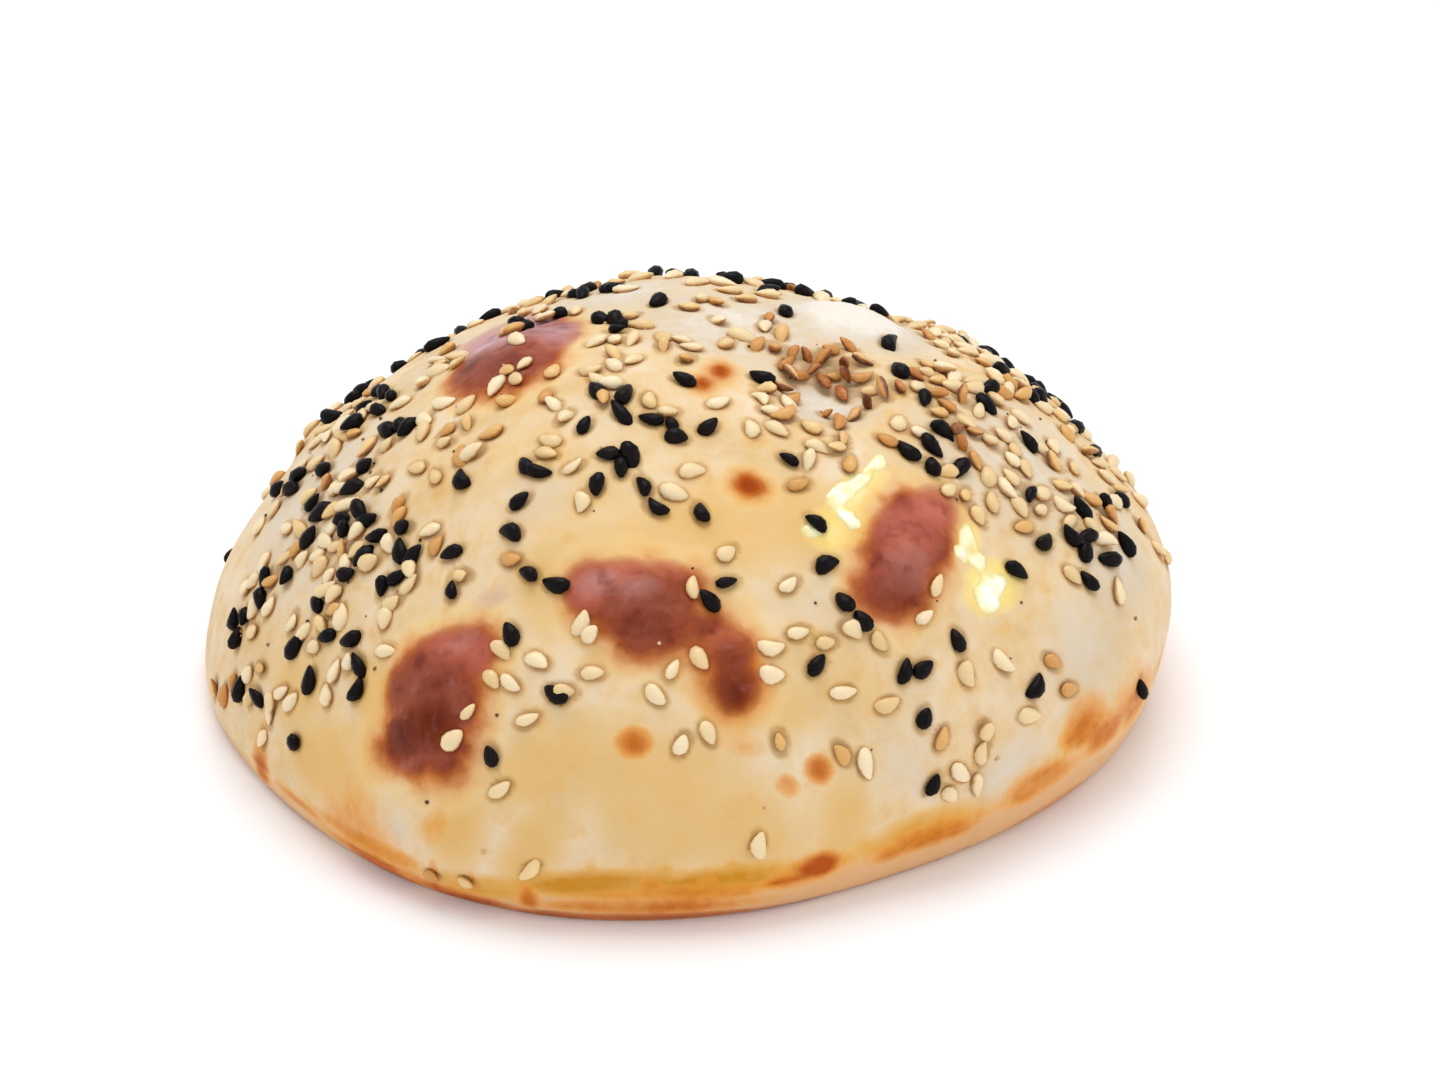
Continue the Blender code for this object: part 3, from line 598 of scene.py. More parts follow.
# Soft wheat dough, raised, brushed with a little milk and baked on a hot floor. The eye sees matt cream
# that turns gold where the heat was stronger, a brown foot, and thin mahogany skin on the blisters.
bakedLook = {
    "noises": {  # size of a blotch in mm, detail, roughness, distortion
        "broad": (9, 3.0, 0.55, 0.0),
        "fine": (1.7, 4.0, 0.6, 0.0),
        "flecks": (3.4, 3.0, 0.5, 0.4),  # where gas pushed the skin thin
        # burnt also places the painted pink glints on the blisters
        "burnt": (2.4, 2.0, 0.5, 0.0),  # mottling of the blisters
        "pores": (0.7, 1.5, 0.5, 0.0),
    },
    "baseRange": (0.45, 0.95),  # of the noise under the base colours
    "fineShare": 0.4,  # of the fine noise in it
    "tight": -1.8,  # gap to a blister's edge where its skin is drawn quite tight
    "roughness": (0.58, -0.2, -0.12),  # of dough, and what tight skin and the fine noise add
    "pimples": (0.85, 0.6, -1.4),  # goose flesh of the blisters: size in mm, smoothness, share of the bump
    "bump": (0.07, 0.5),  # height in mm, strength
    "base": ((0.0, "#d9b884", 1), (0.38, "#e0c499", 1), (0.62, "#e4cca8", 1), (1.0, "#e8d8be", 1)),
    "speckle": ((0.26, "#dba55a", 0.5), (0.40, "#e6bb72", 0.28), (0.54, "#eccb90", 0.0)),
    # Dark char flecks on the blister skin; its top stops are painted pink glints
    "charAndGlints": ((0.28, "#541808", 0.5), (0.42, "#7a3220", 0.2), (0.50, "#9a5240", 0.0), (0.60, "#b87470", 0.0),
             (0.74, "#c48684", 0.16)),
    "layers": (
        # The slope's tan, with painted shade of the crease beside the left blister
        ("warmAndShade", 0.5, 0.0, 1.0, ((0.0, "#e4bc7c", 0.0), (0.5, "#e1b872", 0.58), (1.0, "#dfb062", 0.86))),
        ("flour", 0.5, 0.0, 1.0, ((0.05, "#d8cab2", 0.0), (0.6, "#d3c7b4", 0.64), (0.8, "#dbd2c4", 0.8),
                                   (1.0, "#ebe4da", 0.92))),
        ("lip", 0.4, 0.0, 1.0, ((0.1, "#e4b480", 0.0), (0.6, "#e0ae76", 0.65), (1.0, "#deab78", 0.85))),
        ("gold", 0.5, 0.0, 1.0, ((0.1, "#e6b04c", 0.0), (0.5, "#dea232", 0.65), (1.0, "#c98708", 0.95))),
        ("toast", 0.45, 0.0, 1.0, ((0.08, "#eaa84c", 0.0), (0.4, "#e0953a", 0.7), (0.7, "#c9701a", 0.9),
                                   (1.0, "#ae4a00", 0.97))),
        # Browned bottom edge of the foot, partly painted contact shadow
        ("scorchAndContactShade", 0.4, 0.0, 1.0, ((0.1, "#d07a3c", 0.0), (0.5, "#c2642e", 0.75), (1.0, "#96401a", 0.95))),
        # Browning against each seed, with painted contact shadow round it
        ("nest", 0.7, 0.0, 1.0, ((0.3, "#dcb06a", 0.0), (0.75, "#cda05a", 0.4), (1.0, "#b08240", 0.6))),
        ("pinprick", 1.0, -3.0, 2.0, ((-2.6, "#8e3400", 1.0), (-1.4, "#a44600", 1.0), (-0.7, "#bc6410", 0.95),
                                      (0.0, "#d7923c", 0.7), (0.8, "#e6b468", 0.42), (1.9, "#edcf98", 0.0))),
        ("cheese", 0.5, 0.0, 1.0, ((0.05, "#f2dc9c", 0.0), (0.4, "#f5d97c", 0.55), (0.75, "#f8df82", 0.85),
                                     (1.0, "#fff0b4", 0.95))),
        ("stain", 1.1, -6.0, 3.2, ((-6.0, "#8e4a3a", 1.0), (-3.4, "#904834", 1.0), (-2.2, "#94462a", 1.0),
                                   (-1.3, "#ae5a24", 0.96), (-0.5, "#c87a3a", 0.82), (0.1, "#da9a58", 0.62),
                                   (0.8, "#e3b26c", 0.5), (1.7, "#ecc888", 0.35), (3.0, "#f0d6a4", 0.0))),
        # Painted sheen of the overhead light on the blisters' upper sides
        ("paintedRosySheen", 0.5, 0.0, 1.0, ((0.05, "#a85440", 0.0), (0.6, "#b05c4a", 0.7), (1.0, "#bc6856", 0.92))),
        # Painted sheen of the white air on the blisters' upper parts
        ("paintedMauveSheen", 0.5, 0.0, 1.0, ((0.05, "#bd8474", 0.0), (0.5, "#b98480", 0.6), (1.0, "#c6949a", 0.92))),
        # Char on the blisters, partly painted shade on their lower sides
        ("charredAndShaded", 0.7, 0.0, 1.0, ((0.1, "#782c16", 0.0), (0.5, "#6c260c", 0.66), (1.0, "#581803", 0.92))),
        ("underside", 0.5, 0.0, 1.0, ((0.0, "#b87a42", 0.0), (0.4, "#b9793f", 0.8), (1.0, "#c68d53", 1.0))),
    ),
    "surface": {
        "IOR": 1.42, "Specular IOR Level": 0.11,
        "Subsurface Weight": 0.14, "Subsurface Radius": (1.0, 0.55, 0.3), "Subsurface Scale": 1.1 * mm,
    },
}


def bakedDough():
    material, tree, shader = newMaterial("bakedDough")
    place = addNode(tree, "ShaderNodeTexCoord").outputs["Object"]
    noise = {}
    for name, (size, detail, roughness, distortion) in bakedLook["noises"].items():
        noise[name] = addNode(tree, "ShaderNodeTexNoise", {}, {
            "Vector": place, "Scale": perMetre(size), "Detail": detail, "Roughness": roughness,
            "Distortion": distortion,
        }).outputs["Fac"]
    cloudy = addNode(tree, "ShaderNodeMath", {"operation": "MULTIPLY_ADD"}, {
        0: noise["fine"], 1: bakedLook["fineShare"], 2: noise["broad"],
    })
    low, high = bakedLook["baseRange"]
    spread = addNode(tree, "ShaderNodeMapRange", {}, {
        "Value": cloudy.outputs[0], "From Min": low, "From Max": high,
    })
    base = addNode(tree, "ShaderNodeValToRGB", {}, {"Fac": spread.outputs["Result"]}, bakedLook["base"])
    tan = addNode(tree, "ShaderNodeValToRGB", {}, {"Fac": noise["flecks"]}, bakedLook["speckle"])
    flecked = addNode(tree, "ShaderNodeMix", {"data_type": "RGBA"}, {
        0: tan.outputs["Alpha"], 6: base.outputs["Color"], 7: tan.outputs["Color"],
    }).outputs[2]
    layered = layColours(tree, flecked, noise["fine"], bakedLook["layers"])
    # Blister skin is drawn tight and shines; the dough round it stays matt
    stain = addNode(tree, "ShaderNodeAttribute", {"attribute_name": "stain"}).outputs["Fac"]
    skin = addNode(tree, "ShaderNodeMapRange", {"interpolation_type": "SMOOTHSTEP"}, {
        "Value": stain, "From Min": 0.0, "From Max": bakedLook["tight"],
    }).outputs["Result"]
    # Char flecks on the skin, with painted pink glints at the top of the ramp
    charAndGlints = addNode(tree, "ShaderNodeValToRGB", {}, {"Fac": noise["burnt"]}, bakedLook["charAndGlints"])
    cover = addNode(tree, "ShaderNodeMath", {"operation": "MULTIPLY"}, {0: charAndGlints.outputs["Alpha"], 1: skin})
    colour = addNode(tree, "ShaderNodeMix", {"data_type": "RGBA"}, {
        0: cover.outputs[0], 6: layered, 7: charAndGlints.outputs["Color"],
    }).outputs[2]
    matt, tightAdds, fineAdds = bakedLook["roughness"]
    gloss = addNode(tree, "ShaderNodeMath", {"operation": "MULTIPLY_ADD"}, {0: skin, 1: tightAdds, 2: matt})
    uneven = addNode(tree, "ShaderNodeMath", {"operation": "MULTIPLY_ADD"}, {
        0: noise["fine"], 1: fineAdds, 2: gloss.outputs[0],
    })
    size, smoothness, share = bakedLook["pimples"]
    pimples = addNode(tree, "ShaderNodeTexVoronoi", {"feature": "SMOOTH_F1"}, {
        "Vector": place, "Scale": perMetre(size), "Smoothness": smoothness,
    }).outputs["Distance"]
    raised = addNode(tree, "ShaderNodeMath", {"operation": "MULTIPLY"}, {0: pimples, 1: skin})
    height = addNode(tree, "ShaderNodeMath", {"operation": "MULTIPLY_ADD"}, {
        0: raised.outputs[0], 1: share, 2: noise["pores"],
    })
    rise, strength = bakedLook["bump"]
    bump = addNode(tree, "ShaderNodeBump", {}, {
        "Height": height.outputs[0], "Distance": rise * mm, "Strength": strength,
    })
    plug(tree, shader, {
        "Base Color": colour, "Roughness": uneven.outputs[0], "Normal": bump.outputs["Normal"],
        **bakedLook["surface"],
    })
    return material


# Sesame with its hull on or off: a smooth waxy seed, ivory with a thin brown edge where it was toasted;
# the same edge mask also paints shade on each seed's underside
hullLook = {
    "blotches": (0.7, 3.0, 0.6),  # size in mm, detail, roughness
    "wrinkles": (0.35, 2.0),  # size in mm, detail
    "bump": (0.05, 0.6),  # height in mm, strength
    "roughness": (0.28, 0.2),  # and what the blotches add
}
paleFlesh = {
    "IOR": 1.46, "Subsurface Weight": 0.2, "Subsurface Radius": (1.0, 0.6, 0.3), "Subsurface Scale": 0.6 * mm,
}
# Each kind has its colour, then what lies over that (a hue per seed, and the edge that browns the toasted rim
# and paints shade on the underside), then the surface
seedLook = {
    "white": (
        "#efd9b4",
        (("hue", 0.2, 0.0, 1.0, ((0.0, "#f2e0bb", 0.85), (0.5, "#ead3a4", 0.7), (1.0, "#e0be82", 0.9))),
         ("edge", 0.7, 0.0, 1.0, ((0.45, "#dcae68", 0.0), (0.75, "#cb9040", 0.55), (1.0, "#a86a24", 0.85)))),
        paleFlesh,
    ),
    "toasted": (
        "#e6b87f",
        (("hue", 0.3, 0.0, 1.0, ((0.0, "#eed49a", 0.85), (0.5, "#ddae64", 0.8), (1.0, "#c7883a", 0.9))),
         ("edge", 0.6, 0.0, 1.0, ((0.35, "#c8883a", 0.0), (0.7, "#b06c24", 0.65), (1.0, "#864812", 0.9)))),
        paleFlesh,
    ),
    "scorched": (
        "#c98f45",
        (("hue", 0.6, 0.0, 1.0, ((0.0, "#ecc890", 0.85), (0.45, "#d2924a", 0.75), (0.8, "#b8682a", 0.8),
                                  (1.0, "#7c3a16", 0.9))),
         ("edge", 0.6, 0.0, 1.0, ((0.3, "#b87030", 0.0), (0.65, "#96521c", 0.7), (1.0, "#5a2a0c", 0.95)))),
        paleFlesh,
    ),
    "black": (
        "#0e0709",
        (("hue", 0.3, 0.0, 1.0, ((0.0, "#060405", 0.8), (0.6, "#0d070a", 0.3), (1.0, "#1a1110", 0.7))),
         # On the black seeds the edge is painted shade on the underside
         ("edge", 0.4, 0.0, 1.0, ((0.6, "#070505", 0.0), (1.0, "#060404", 0.7)))),
        {"IOR": 1.46, "Specular IOR Level": 0.12},
    ),
}


def sesameHull(kind):
    material, tree, shader = newMaterial(kind + "Sesame")
    under, layers, surface = seedLook[kind]
    place = addNode(tree, "ShaderNodeTexCoord").outputs["Object"]
    size, detail, roughness = hullLook["blotches"]
    blotch = addNode(tree, "ShaderNodeTexNoise", {}, {
        "Vector": place, "Scale": perMetre(size), "Detail": detail, "Roughness": roughness,
    }).outputs["Fac"]
    size, detail = hullLook["wrinkles"]
    wrinkles = addNode(tree, "ShaderNodeTexNoise", {}, {
        "Vector": place, "Scale": perMetre(size), "Detail": detail,
    })
    rise, strength = hullLook["bump"]
    bump = addNode(tree, "ShaderNodeBump", {}, {
        "Height": wrinkles.outputs["Fac"], "Distance": rise * mm, "Strength": strength,
    })
    waxy, adds = hullLook["roughness"]
    rough = addNode(tree, "ShaderNodeMath", {"operation": "MULTIPLY_ADD"}, {0: blotch, 1: adds, 2: waxy})
    plug(tree, shader, {
        "Base Color": layColours(tree, tone(under), blotch, layers),
        "Roughness": rough.outputs[0], "Normal": bump.outputs["Normal"], **surface,
    })
    return material


# Points and edge mask of one seed of unit length, width and thickness: a teardrop whose half width is
# (1 - u squared)^0.55 * (1 - 0.3 u), u running from its blunt end to its tip, and whose half thickness is
# that times (1 - 0.15 u). The mask is 1 from just under its rim down and fades upwards; it browns the toasted
# rim and paints shade on the seed's underside
def seedForm():
    u = np.array(seeds["rings"])[:, None]
    turn = np.linspace(0, 2 * math.pi, seeds["around"], endpoint=False)[None, :]
    girth = (1 - u ** 2) ** 0.55 * (1 - 0.30 * u)
    x = u + 0 * turn
    y = girth * np.cos(-turn)
    z = girth * np.sin(-turn) * (1 - 0.15 * u)
    points = np.stack((x, y, z), -1).reshape(-1, 3)
    points = np.concatenate((points, [(-1.0, 0, 0), (1.0, 0, 0)])) / 2
    below, fade = seeds["edge"]
    edge = np.clip(1 - (points[:, 2] * 2 + below) * fade, 0, 1)
    return points, edge


# All seeds of a kind as one mesh: each is the unit seed times its length, width and thickness along its
# frame, bent sideways by bend * (distance along it) squared
def makeSeeds(kind, rows, seats):
    chosen = np.array([row[0] == kind for row in rows])
    seat = {name: values[chosen] for name, values in seats.items()}
    form, edge = seedForm()
    count = chosen.sum()
    draw = np.random.default_rng(seeds["shapeSeed"] + len(kind))
    spread, most = seeds["shapeSpread"]
    uneven = np.clip(spread * draw.normal(size=(count, 3)), -most, most)
    stretch = np.array(seeds["sizes"][kind]) * (1 + uneven) * seat["size"][:, None]
    bend = seeds["bendSpread"] * draw.normal(size=count)[:, None]
    local = form[None] * stretch[:, None]
    local[..., 1] += bend * (local[..., 0] ** 2)
    points = (seat["point"] + seat["normal"] * seat["lift"][:, None])[:, None]
    for axis, part in (("along", 0), ("across", 1), ("out", 2)):
        points = points + seat[axis][:, None] * local[..., part:part + 1]
    faces = skinFaces(len(seeds["rings"]), seeds["around"], count)
    fields = {"hue": np.repeat(draw.uniform(0, 1, count), len(form)), "edge": np.tile(edge, count)}
    return makePiece(kind + "_sesame", points.reshape(-1, 3), faces, fields, sesameHull(kind))


# Under each seed: an oval hollow, a rim of dough round it, and browning with painted contact shadow. The rim
# has the share where it stands and the browning and shade the one where it starts, each with the shares over
# which it fades
nest = {
    "size": (3.3, 2.1), "reach": 3.2,
    "depth": 0.20, "rim": 0.08,
    "rimShare": (1.25, 0.28), "brownShadeShare": (1.05, 0.35),
}


# Hollows that the seeds press into the dough: depth * (1 - share squared) inside the oval, and round it a rim
# of height * exp(-((share - middle) / fade) squared). The mask is 1 where the dough browns against the seed
# and takes its painted contact shadow
def pressNests(points, normals, seats):
    length, width = nest["size"]
    middle, fade = nest["rimShare"]
    start, dim = nest["brownShadeShare"]
    depth = np.zeros(len(points))
    mask = np.zeros(len(points))
    for centre, along, across in zip(seats["point"], seats["flat"], seats["flatAcross"]):
        near = np.flatnonzero((np.abs(points - centre) < nest["reach"]).all(-1))
        offset = points[near] - centre
        share = np.hypot(offset @ along / length * 2, offset @ across / width * 2)
        rim = np.exp(-((share - middle) / fade) ** 2)
        depth[near] += nest["rim"] * rim - nest["depth"] * np.clip(1 - share ** 2, 0, 1)
        mask[near] = np.maximum(mask[near], np.exp(-(np.maximum(share - start, 0) / dim) ** 2))
    return points + normals * depth[:, None], mask


# Holds a mask below nothing where there is none of it, so that noise strews no stray flecks there:
# mask - drop * smooth(1 - mask / faint)
def hushed(mask, drop=0.18, faint=0.15):
    return mask - drop * smooth(1 - mask / faint)


# Strength of the foot's browning: the greatest of strength * smooth((gone - share) / fade), where share is 0
# in a blotch's middle and 1 on its oval edge
def footBlotches(bearing, down, blotches):
    gone, fade = foot["blotchEdge"]
    angle = np.degrees(bearing) % 360
    total = np.zeros(len(bearing))
    for at, level, halfAngle, halfDown, strength in blotches:
        turn = (angle - at + 180) % 360 - 180
        share = np.sqrt((turn / halfAngle) ** 2 + ((down - level) / halfDown) ** 2)
        total = np.maximum(total, strength * smooth((gone - share) / fade))
    return total


# Where the slope tanned and where it stayed pale: ovals on the crust, strength last. The tan patches low on
# the left beside the left blister, round (-35, -38), are also painted shade of the crease there
warmth = {
    "tanAndShade": (
        (2, -54, 22, 9, 0, 0.8), (-12, -30, 12, 5, 0, 0.45), (-40, -38, 6, 9, 0, 0.95),
        (4, -32, 14, 7, 0, 0.75), (-16, -22, 8, 6, 0, 0.3), (16, -42, 12, 8, 0, 0.35),
        (-15, -38, 5, 8, 0, 0.75), (14, -30, 8, 7, 0, 0.8), (-16, -51, 11, 5, 0, 0.75),
        (-4, -34, 12, 4, 0, 0.72), (12, -47, 5, 4, 0, 0.6), (-36, -41, 5, 6, 0, 0.9),
        (-45, -29, 6, 8, 0, 0.8), (-35, -38, 4, 7, 0, 1.3), (31, -38, 1.6, 5, 0, 0.5),
        (-25, -50.6, 7, 4.4, 0, 0.95), (-17, -54, 9, 4, 0, 0.9), (18, -50, 9, 4.6, 0, 0.95),
        (-43, -35, 5, 6, 0, 1.1),
    ),
    "floury": (
        (20, 11, 13, 12, 0, 1.15), (6, 4, 16, 16, 0, 0.85), (17, -10, 8, 9, 0, 0.9),
        (46, -26, 9, 9, 0, 0.6), (-8, 16, 12, 12, 0, 0.8), (-44, -8, 16, 22, 0, 0.7),
        (38, -10, 16, 16, 0, 0.75), (-26, 8, 12, 14, 0, 0.6), (14, -38, 8, 4, 0, 0.4),
        (38, -38, 8, 8, 0, 0.75), (-32, -46.6, 2.6, 2.4, 0, 0.6), (50, -14, 8, 12, 0, 0.7),
        (-16, -28, 6, 5, 0, 0.5), (25, -45, 7, 4, 0, 0.4),
    ),
}
crustGrid = {"around": 576, "domeRows": 127, "footRows": 16, "baseRows": 20}


# The crust is crustPoint on a grid of bearing and down, with nests pressed in and a mask for each colour
def makeCrust(seats):
    rows = np.concatenate((
        np.linspace(0, 1, crustGrid["domeRows"] + 1)[1:],
        1 + np.linspace(0, 1, crustGrid["footRows"] + 1)[1:],
        2 + np.linspace(0, 1, crustGrid["baseRows"] + 1)[1:-1],
    ))
    turn = np.linspace(0, 2 * math.pi, crustGrid["around"], endpoint=False)
    down, bearing = np.meshgrid(rows, turn, indexing="ij")
    ends = np.array((0.0, 3.0))
    bearing = np.concatenate((bearing.ravel(), 0 * ends))
    down = np.concatenate((down.ravel(), ends))
    points = crustPoint(bearing, down)
    normals = outward(domePoint, bearing, down)
    points, brownAndShade = pressNests(points, normals, seats)
    ragged = clouds(points, stains["ragged"])
    stain = joinedGap(points, stains["edges"], stains["blend"]) + ragged
    pinprick = joinedGap(points, stains["pinpricks"], stains["pinprickBlend"])
    pinprick += stains["pinprickRagged"] * ragged
    most = stains["furthest"]
    uneven = 1 + clouds(points, foot["patchy"])
    toasted = footBlotches(bearing, down, foot["toast"]) * uneven
    strength, variation, turned = foot["lip"]
    lipStart, lipWay = foot["lipEdge"]
    lip = (strength + variation * np.cos(bearing + turned)) * smooth((down - lipStart) / lipWay)
    baseStart, baseWay = foot["baseEdge"]
    fields = {
        # Tan of the slope, with painted shade of the crease beside the left blister
        "warmAndShade": patches(points, warmth["tanAndShade"]),
        "stain": np.clip(stain, -most, most),
        "pinprick": np.clip(pinprick, -most, most),
        # Painted sheen on the blisters' upper sides
        "paintedRosySheen": hushed(patches(points, stains["paintedRosySheen"])),
        # Painted sheen of the white air on the blisters' upper parts
        "paintedMauveSheen": hushed(patches(points, stains["paintedMauveSheen"])),
        # Char on the blisters, partly painted shade on their lower sides
        "charredAndShaded": hushed(patches(points, stains["charredAndShaded"])),
        "toast": hushed(np.maximum(toasted, patches(points, stains["amber"]))),
        "gold": hushed(footBlotches(bearing, down, foot["gold"]) * uneven),
        # Browned bottom edge of the foot, partly painted contact shadow
        "scorchAndContactShade": hushed(footBlotches(bearing, down, foot["scorchAndContactShade"])),
        "lip": hushed(lip * (down <= 2)),
        # Browning against each seed, with painted contact shadow round it
        "nest": hushed(brownAndShade * (down < 1)),
        "cheese": hushed(patches(points, cheese["halo"])),
        "flour": patches(points, warmth["floury"]),
        "underside": hushed(smooth((down - baseStart) / baseWay)),
    }
    faces = skinFaces(len(rows), crustGrid["around"])
    return makePiece("crust", points, faces, fields, bakedDough())


# Cheese that boiled out of a crack beside the right blister: a thin wet film, and its soaked halo
cheese = {
    "film": (
        (17.4, -26.2, 1.4, 1.9, 30), (19.4, -24.4, 1.2, 2.8, 35), (21.6, -21.2, 0.8, 1.8, 38),
        (18.6, -28.9, 2.0, 1.2, 20), (14.4, -30.8, 2.0, 1.3, 10),
        (32.4, -24.4, 1.3, 1.5, 10), (31.2, -27.2, 0.9, 1.0, 0), (33.6, -26.5, 1.2, 1.4, 20),
        (35.4, -28.2, 1.8, 2.6, 25), (34.6, -30.0, 1.5, 1.3, 0),
    ),
    "halo": (
        (19.4, -25.6, 2.8, 6.4, 30, 1.0), (16.6, -30.4, 4.0, 3.4, 0, 0.85), (34.8, -28.4, 3.8, 5.0, 25, 1.05),
        (32.2, -25.2, 2.4, 3.2, 0, 0.95), (20.0, -29.4, 2.0, 3.2, 20, 0.8), (37.2, -27.6, 2.0, 3.6, 10, 0.6),
    ),
    "blend": 0.5,
    "ragged": ((2.0, 0.75, 80), (0.9, 0.45, 81)),  # clouds that push the film's edge in and out
    "edgeWidth": 2.4,
    "thickness": 0.22,
    "ripple": ((1.1, 0.10, 82),),
    "sunk": 0.3,  # how deep it lies in the crust outside its edge; its underside is three times as deep
    "cloudy": (0.6, 0.5),  # shares of its thickness and of its curds in its colour
    "curds": (1.6, 3.0),  # size in mm, detail
    "bump": (0.12, 0.5),  # height in mm, strength
    "corner": (11.0, -35.5),
    "size": (30.0, 17.0),
    "step": 0.25,
    "colours": ((0.55, "#eed68c", 1), (0.66, "#f6e49c", 1), (0.78, "#fff2c0", 1), (0.9, "#fffdee", 1)),
    "surface": {
        "Roughness": 0.2, "IOR": 1.45, "Coat Weight": 0.7, "Coat Roughness": 0.08,
        "Subsurface Weight": 0.5, "Subsurface Radius": (1.0, 0.8, 0.4), "Subsurface Scale": 1.2 * mm,
    },
}


def meltedCheese():
    # Young melted cheese with its butterfat out: pale yellow, cloudy inside, wet enough to catch the light
    material, tree, shader = newMaterial("meltedCheese")
    place = addNode(tree, "ShaderNodeTexCoord").outputs["Object"]
    size, detail = cheese["curds"]
    curds = addNode(tree, "ShaderNodeTexNoise", {}, {
        "Vector": place, "Scale": perMetre(size), "Detail": detail,
    }).outputs["Fac"]
    thick = addNode(tree, "ShaderNodeAttribute", {"attribute_name": "thick"}).outputs["Fac"]
    depth = addNode(tree, "ShaderNodeMath", {"operation": "MULTIPLY_ADD"}, {
        0: curds, 1: cheese["cloudy"][1], 2: thick,
    })
    ramp = addNode(tree, "ShaderNodeValToRGB", {}, {"Fac": depth.outputs[0]}, cheese["colours"])
    rise, strength = cheese["bump"]
    bump = addNode(tree, "ShaderNodeBump", {}, {"Height": curds, "Distance": rise * mm, "Strength": strength})
    plug(tree, shader, {
        "Base Color": ramp.outputs["Color"], "Normal": bump.outputs["Normal"], **cheese["surface"],
    })
    return material


# The film is a plan grid laid on the crust and moved out by (sunk + thickness) * inside - sunk, so that it
# sinks into the crust outside the film's edge; the same grid sunk deeper shuts it below
def makeCheese():
    x0, y0 = cheese["corner"]
    across, deep = (round(side / cheese["step"]) for side in cheese["size"])
    x, y = np.meshgrid(
        x0 + cheese["step"] * np.arange(across + 1), y0 + cheese["step"] * np.arange(deep + 1), indexing="xy",
    )
    bearing, down = domePlace(x, y)
    skin = crustPoint(bearing, down)
    normal = outward(domePoint, bearing, down)
    gap = joinedGap(skin, cheese["film"], cheese["blend"]) + clouds(skin, cheese["ragged"])
    inside = smooth(0.5 - gap / cheese["edgeWidth"])
    lift = -cheese["sunk"] + (cheese["sunk"] + cheese["thickness"]) * inside
    top = skin + normal * (lift + inside * clouds(skin, cheese["ripple"]))[..., None]
    below = skin - normal * 3 * cheese["sunk"]
    points = np.concatenate((top.reshape(-1, 3), below.reshape(-1, 3)))
    index = np.arange(x.size).reshape(x.shape)
    cells = np.stack((index[:-1, :-1], index[:-1, 1:], index[1:, 1:], index[1:, :-1]), -1).reshape(-1, 4)
    rim = np.concatenate((index[0, :-1], index[:-1, -1], index[-1, :0:-1], index[:0:-1, 0]))
    after = np.roll(rim, -1)
    walls = np.stack((rim + x.size, after + x.size, after, rim), -1)
    faces = cells.tolist() + (cells[:, ::-1] + x.size).tolist() + walls.tolist()
    thick = cheese["cloudy"][0] * np.concatenate((inside.ravel(), inside.ravel()))
    return makePiece("cheese_film", points, faces, {"thick": thick}, meltedCheese())


# Broken bits of hull and crumb that lie among the seeds
crumbs = {
    "count": 150, "seed": 90,
    "size": (0.12, 0.32),
    "spread": 1.5,  # from a seed
    "lowest": 0.96,
    "proud": 0.05,
    "rings": (-0.5, 0.4), "around": 5,
    "lumps": (0.75, 0.5),  # a point's least distance out, and the range above it
    "roughness": 0.7,
    "colours": ((0.0, "#2a1a14", 1), (0.4, "#5e3a22", 1), (0.7, "#b07a44", 1), (1.0, "#e2c08a", 1)),
}


def toastedBits():
    # Dust of burnt hulls and dry crumb: dark brown to straw, matt
    material, tree, shader = newMaterial("toastedBits")
    hue = addNode(tree, "ShaderNodeAttribute", {"attribute_name": "hue"}).outputs["Fac"]
    ramp = addNode(tree, "ShaderNodeValToRGB", {}, {"Fac": hue}, crumbs["colours"])
    plug(tree, shader, {"Base Color": ramp.outputs["Color"], "Roughness": crumbs["roughness"]})
    return material


# Each bit is a lumpy five-sided pebble: rings of half width sqrt(1 - u squared), every point moved out or in
# at random, and all of it turned at random
def makeCrumbs(rows):
    draw = np.random.default_rng(crumbs["seed"])
    count = crumbs["count"]
    host = draw.integers(0, len(rows), count)
    x = np.array([row[1] for row in rows])[host] + crumbs["spread"] * draw.normal(size=count)
    y = np.array([row[2] for row in rows])[host] + crumbs["spread"] * draw.normal(size=count)
    bearing, down = domePlace(x, y)
    down = np.minimum(down, crumbs["lowest"])
    point = crustPoint(bearing, down) + outward(domePoint, bearing, down) * crumbs["proud"]
    u = np.array(crumbs["rings"])[:, None]
    turn = np.linspace(0, 2 * math.pi, crumbs["around"], endpoint=False)[None, :]
    girth = np.sqrt(1 - u ** 2)
    form = np.stack((u + 0 * turn, girth * np.cos(-turn), girth * np.sin(-turn)), -1).reshape(-1, 3)
    form = np.concatenate((form, [(-1.0, 0, 0), (1.0, 0, 0)]))
    size = draw.uniform(*crumbs["size"], count)[:, None, None]
    least, more = crumbs["lumps"]
    lumps = form[None] * size * (least + more * draw.uniform(size=(count, len(form), 1)))
    spin = draw.normal(size=(count, 3, 3))
    axes = np.linalg.qr(spin)[0]
    axes *= np.sign(np.linalg.det(axes))[:, None, None]
    points = (point[:, None] + lumps @ axes).reshape(-1, 3)
    faces = skinFaces(len(crumbs["rings"]), crumbs["around"], count)
    fields = {"hue": np.repeat(draw.uniform(0, 1, count), len(form))}
    return makePiece("crumbs", points, faces, fields, toastedBits())


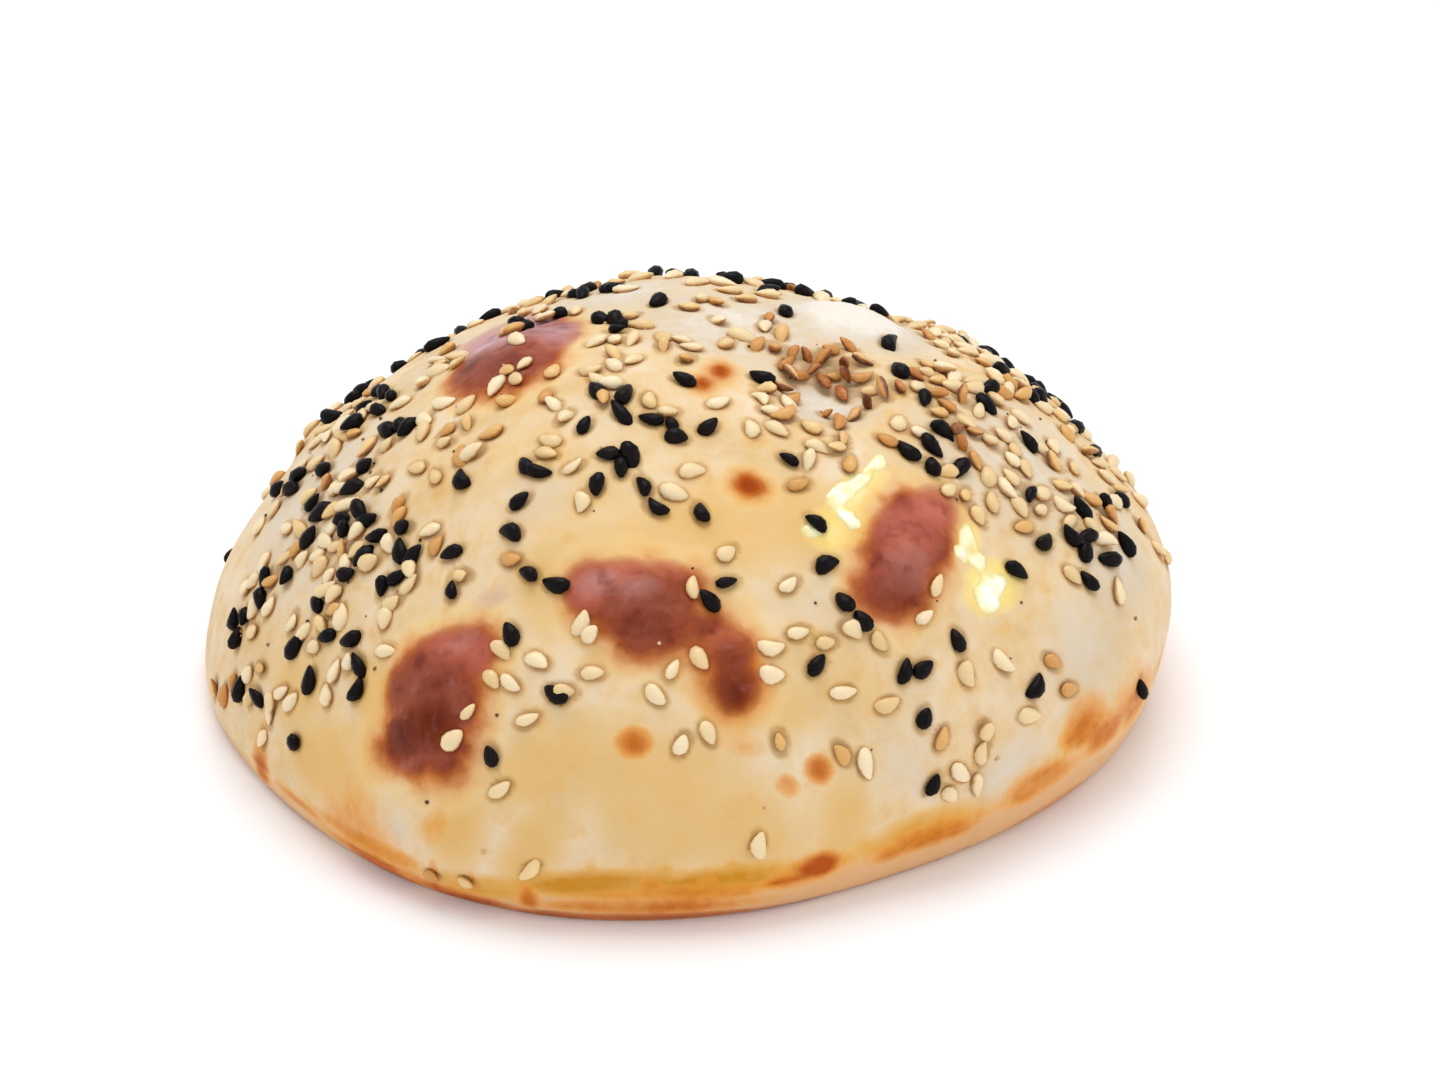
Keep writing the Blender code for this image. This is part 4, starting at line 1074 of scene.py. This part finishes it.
# The studio: a sheet of white background paper, rolled smooth and matt, so that it shows an even white and
# soft shadows; one large soft light overhead and a little behind, three weak fills, and white air
studio = {
    "floorRadius": 1500,
    "floorSides": 96,
    "paper": ((0.0, "#f8f8fc", 1), (1.0, "#fcfcff", 1)),
    "paperGrain": (40, 2.0),  # size in mm of its faint clouds, detail
    "paperRoughness": 0.85,
    "lights": (  # name, place, aim, width and height, watts
        ("overhead", (-40, 230, 870), (0, 0, 0), (660, 570), 4.1),
        ("frontFill", (-60, -800, 520), (0, 0, 20), (600, 400), 0.85),
        ("leftFill", (-800, -300, 420), (0, 0, 20), (500, 500), 0.5),
        ("rightFill", (800, -260, 380), (0, 0, 20), (500, 500), 1.25),
    ),
    "air": "#ffffff",
    "airStrength": 0.66,
    "cameraElevation": 29,
    "cameraAim": (4.2, -0.4, 19.9),
    "cameraDistance": 620,
    "cameraLens": 129.75,
    "cameraSensor": 36,
    "cameraReach": (10, 10000),
}


# Puts a light or camera at a place with its -Z axis towards its aim and its Y axis up
def aimed(item, place, aim):
    toward = np.array(aim, float) - np.array(place, float)
    toward /= np.linalg.norm(toward)
    side = np.cross(toward, (0, 0, 1))
    side /= np.linalg.norm(side)
    up = np.cross(side, toward)
    matrix = np.eye(4)
    matrix[:3, 0], matrix[:3, 1], matrix[:3, 2] = side, up, -toward
    matrix[:3, 3] = np.array(place) * mm
    item.matrix_world = Matrix(matrix)
    bpy.context.collection.objects.link(item)


def makeStudio():
    turn = np.linspace(0, 2 * math.pi, studio["floorSides"], endpoint=False)
    ring = np.stack((np.cos(turn), np.sin(turn), 0 * turn), -1) * studio["floorRadius"]
    material, tree, shader = newMaterial("paperSweep")
    place = addNode(tree, "ShaderNodeTexCoord").outputs["Object"]
    size, detail = studio["paperGrain"]
    grainy = addNode(tree, "ShaderNodeTexNoise", {}, {
        "Vector": place, "Scale": perMetre(size), "Detail": detail,
    })
    ramp = addNode(tree, "ShaderNodeValToRGB", {}, {"Fac": grainy.outputs["Fac"]}, studio["paper"])
    plug(tree, shader, {"Base Color": ramp.outputs["Color"], "Roughness": studio["paperRoughness"]})
    mesh = bpy.data.meshes.new("floor")
    mesh.from_pydata((ring * mm).tolist(), [], [list(range(len(ring)))])
    mesh.materials.append(material)
    floor = bpy.data.objects.new("floor", mesh)
    bpy.context.collection.objects.link(floor)
    for name, place, aim, (width, depth), watts in studio["lights"]:
        lamp = bpy.data.lights.new(name, "AREA")
        lamp.shape = "RECTANGLE"
        lamp.size, lamp.size_y = width * mm, depth * mm
        lamp.energy = watts
        aimed(bpy.data.objects.new(name, lamp), place, aim)
    world = bpy.data.worlds.new("air")
    world.use_nodes = True
    plug(world.node_tree, world.node_tree.nodes["Background"], {
        "Color": tone(studio["air"]), "Strength": studio["airStrength"],
    })
    bpy.context.scene.world = world
    camera = bpy.data.cameras.new("camera")
    camera.sensor_width = studio["cameraSensor"]
    camera.lens = studio["cameraLens"]
    camera.clip_start, camera.clip_end = (reach * mm for reach in studio["cameraReach"])
    eye = bpy.data.objects.new("camera", camera)
    lift = math.radians(studio["cameraElevation"])
    back = np.array((0, -math.cos(lift), math.sin(lift))) * studio["cameraDistance"]
    aimed(eye, np.array(studio["cameraAim"]) + back, studio["cameraAim"])
    bpy.context.scene.camera = eye
    bpy.context.scene.view_settings.view_transform = "Standard"


strewn = strewSeeds()
seats = seatSeeds(strewn)
print("seeds strewn:", len(strewn))
crust = makeCrust(seats)
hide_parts("pie")
for kind in ("white", "toasted", "scorched", "black"):
    makeSeeds(kind, strewn, seats)
makeCheese()
makeCrumbs(strewn)
makeStudio()
print("studio set")
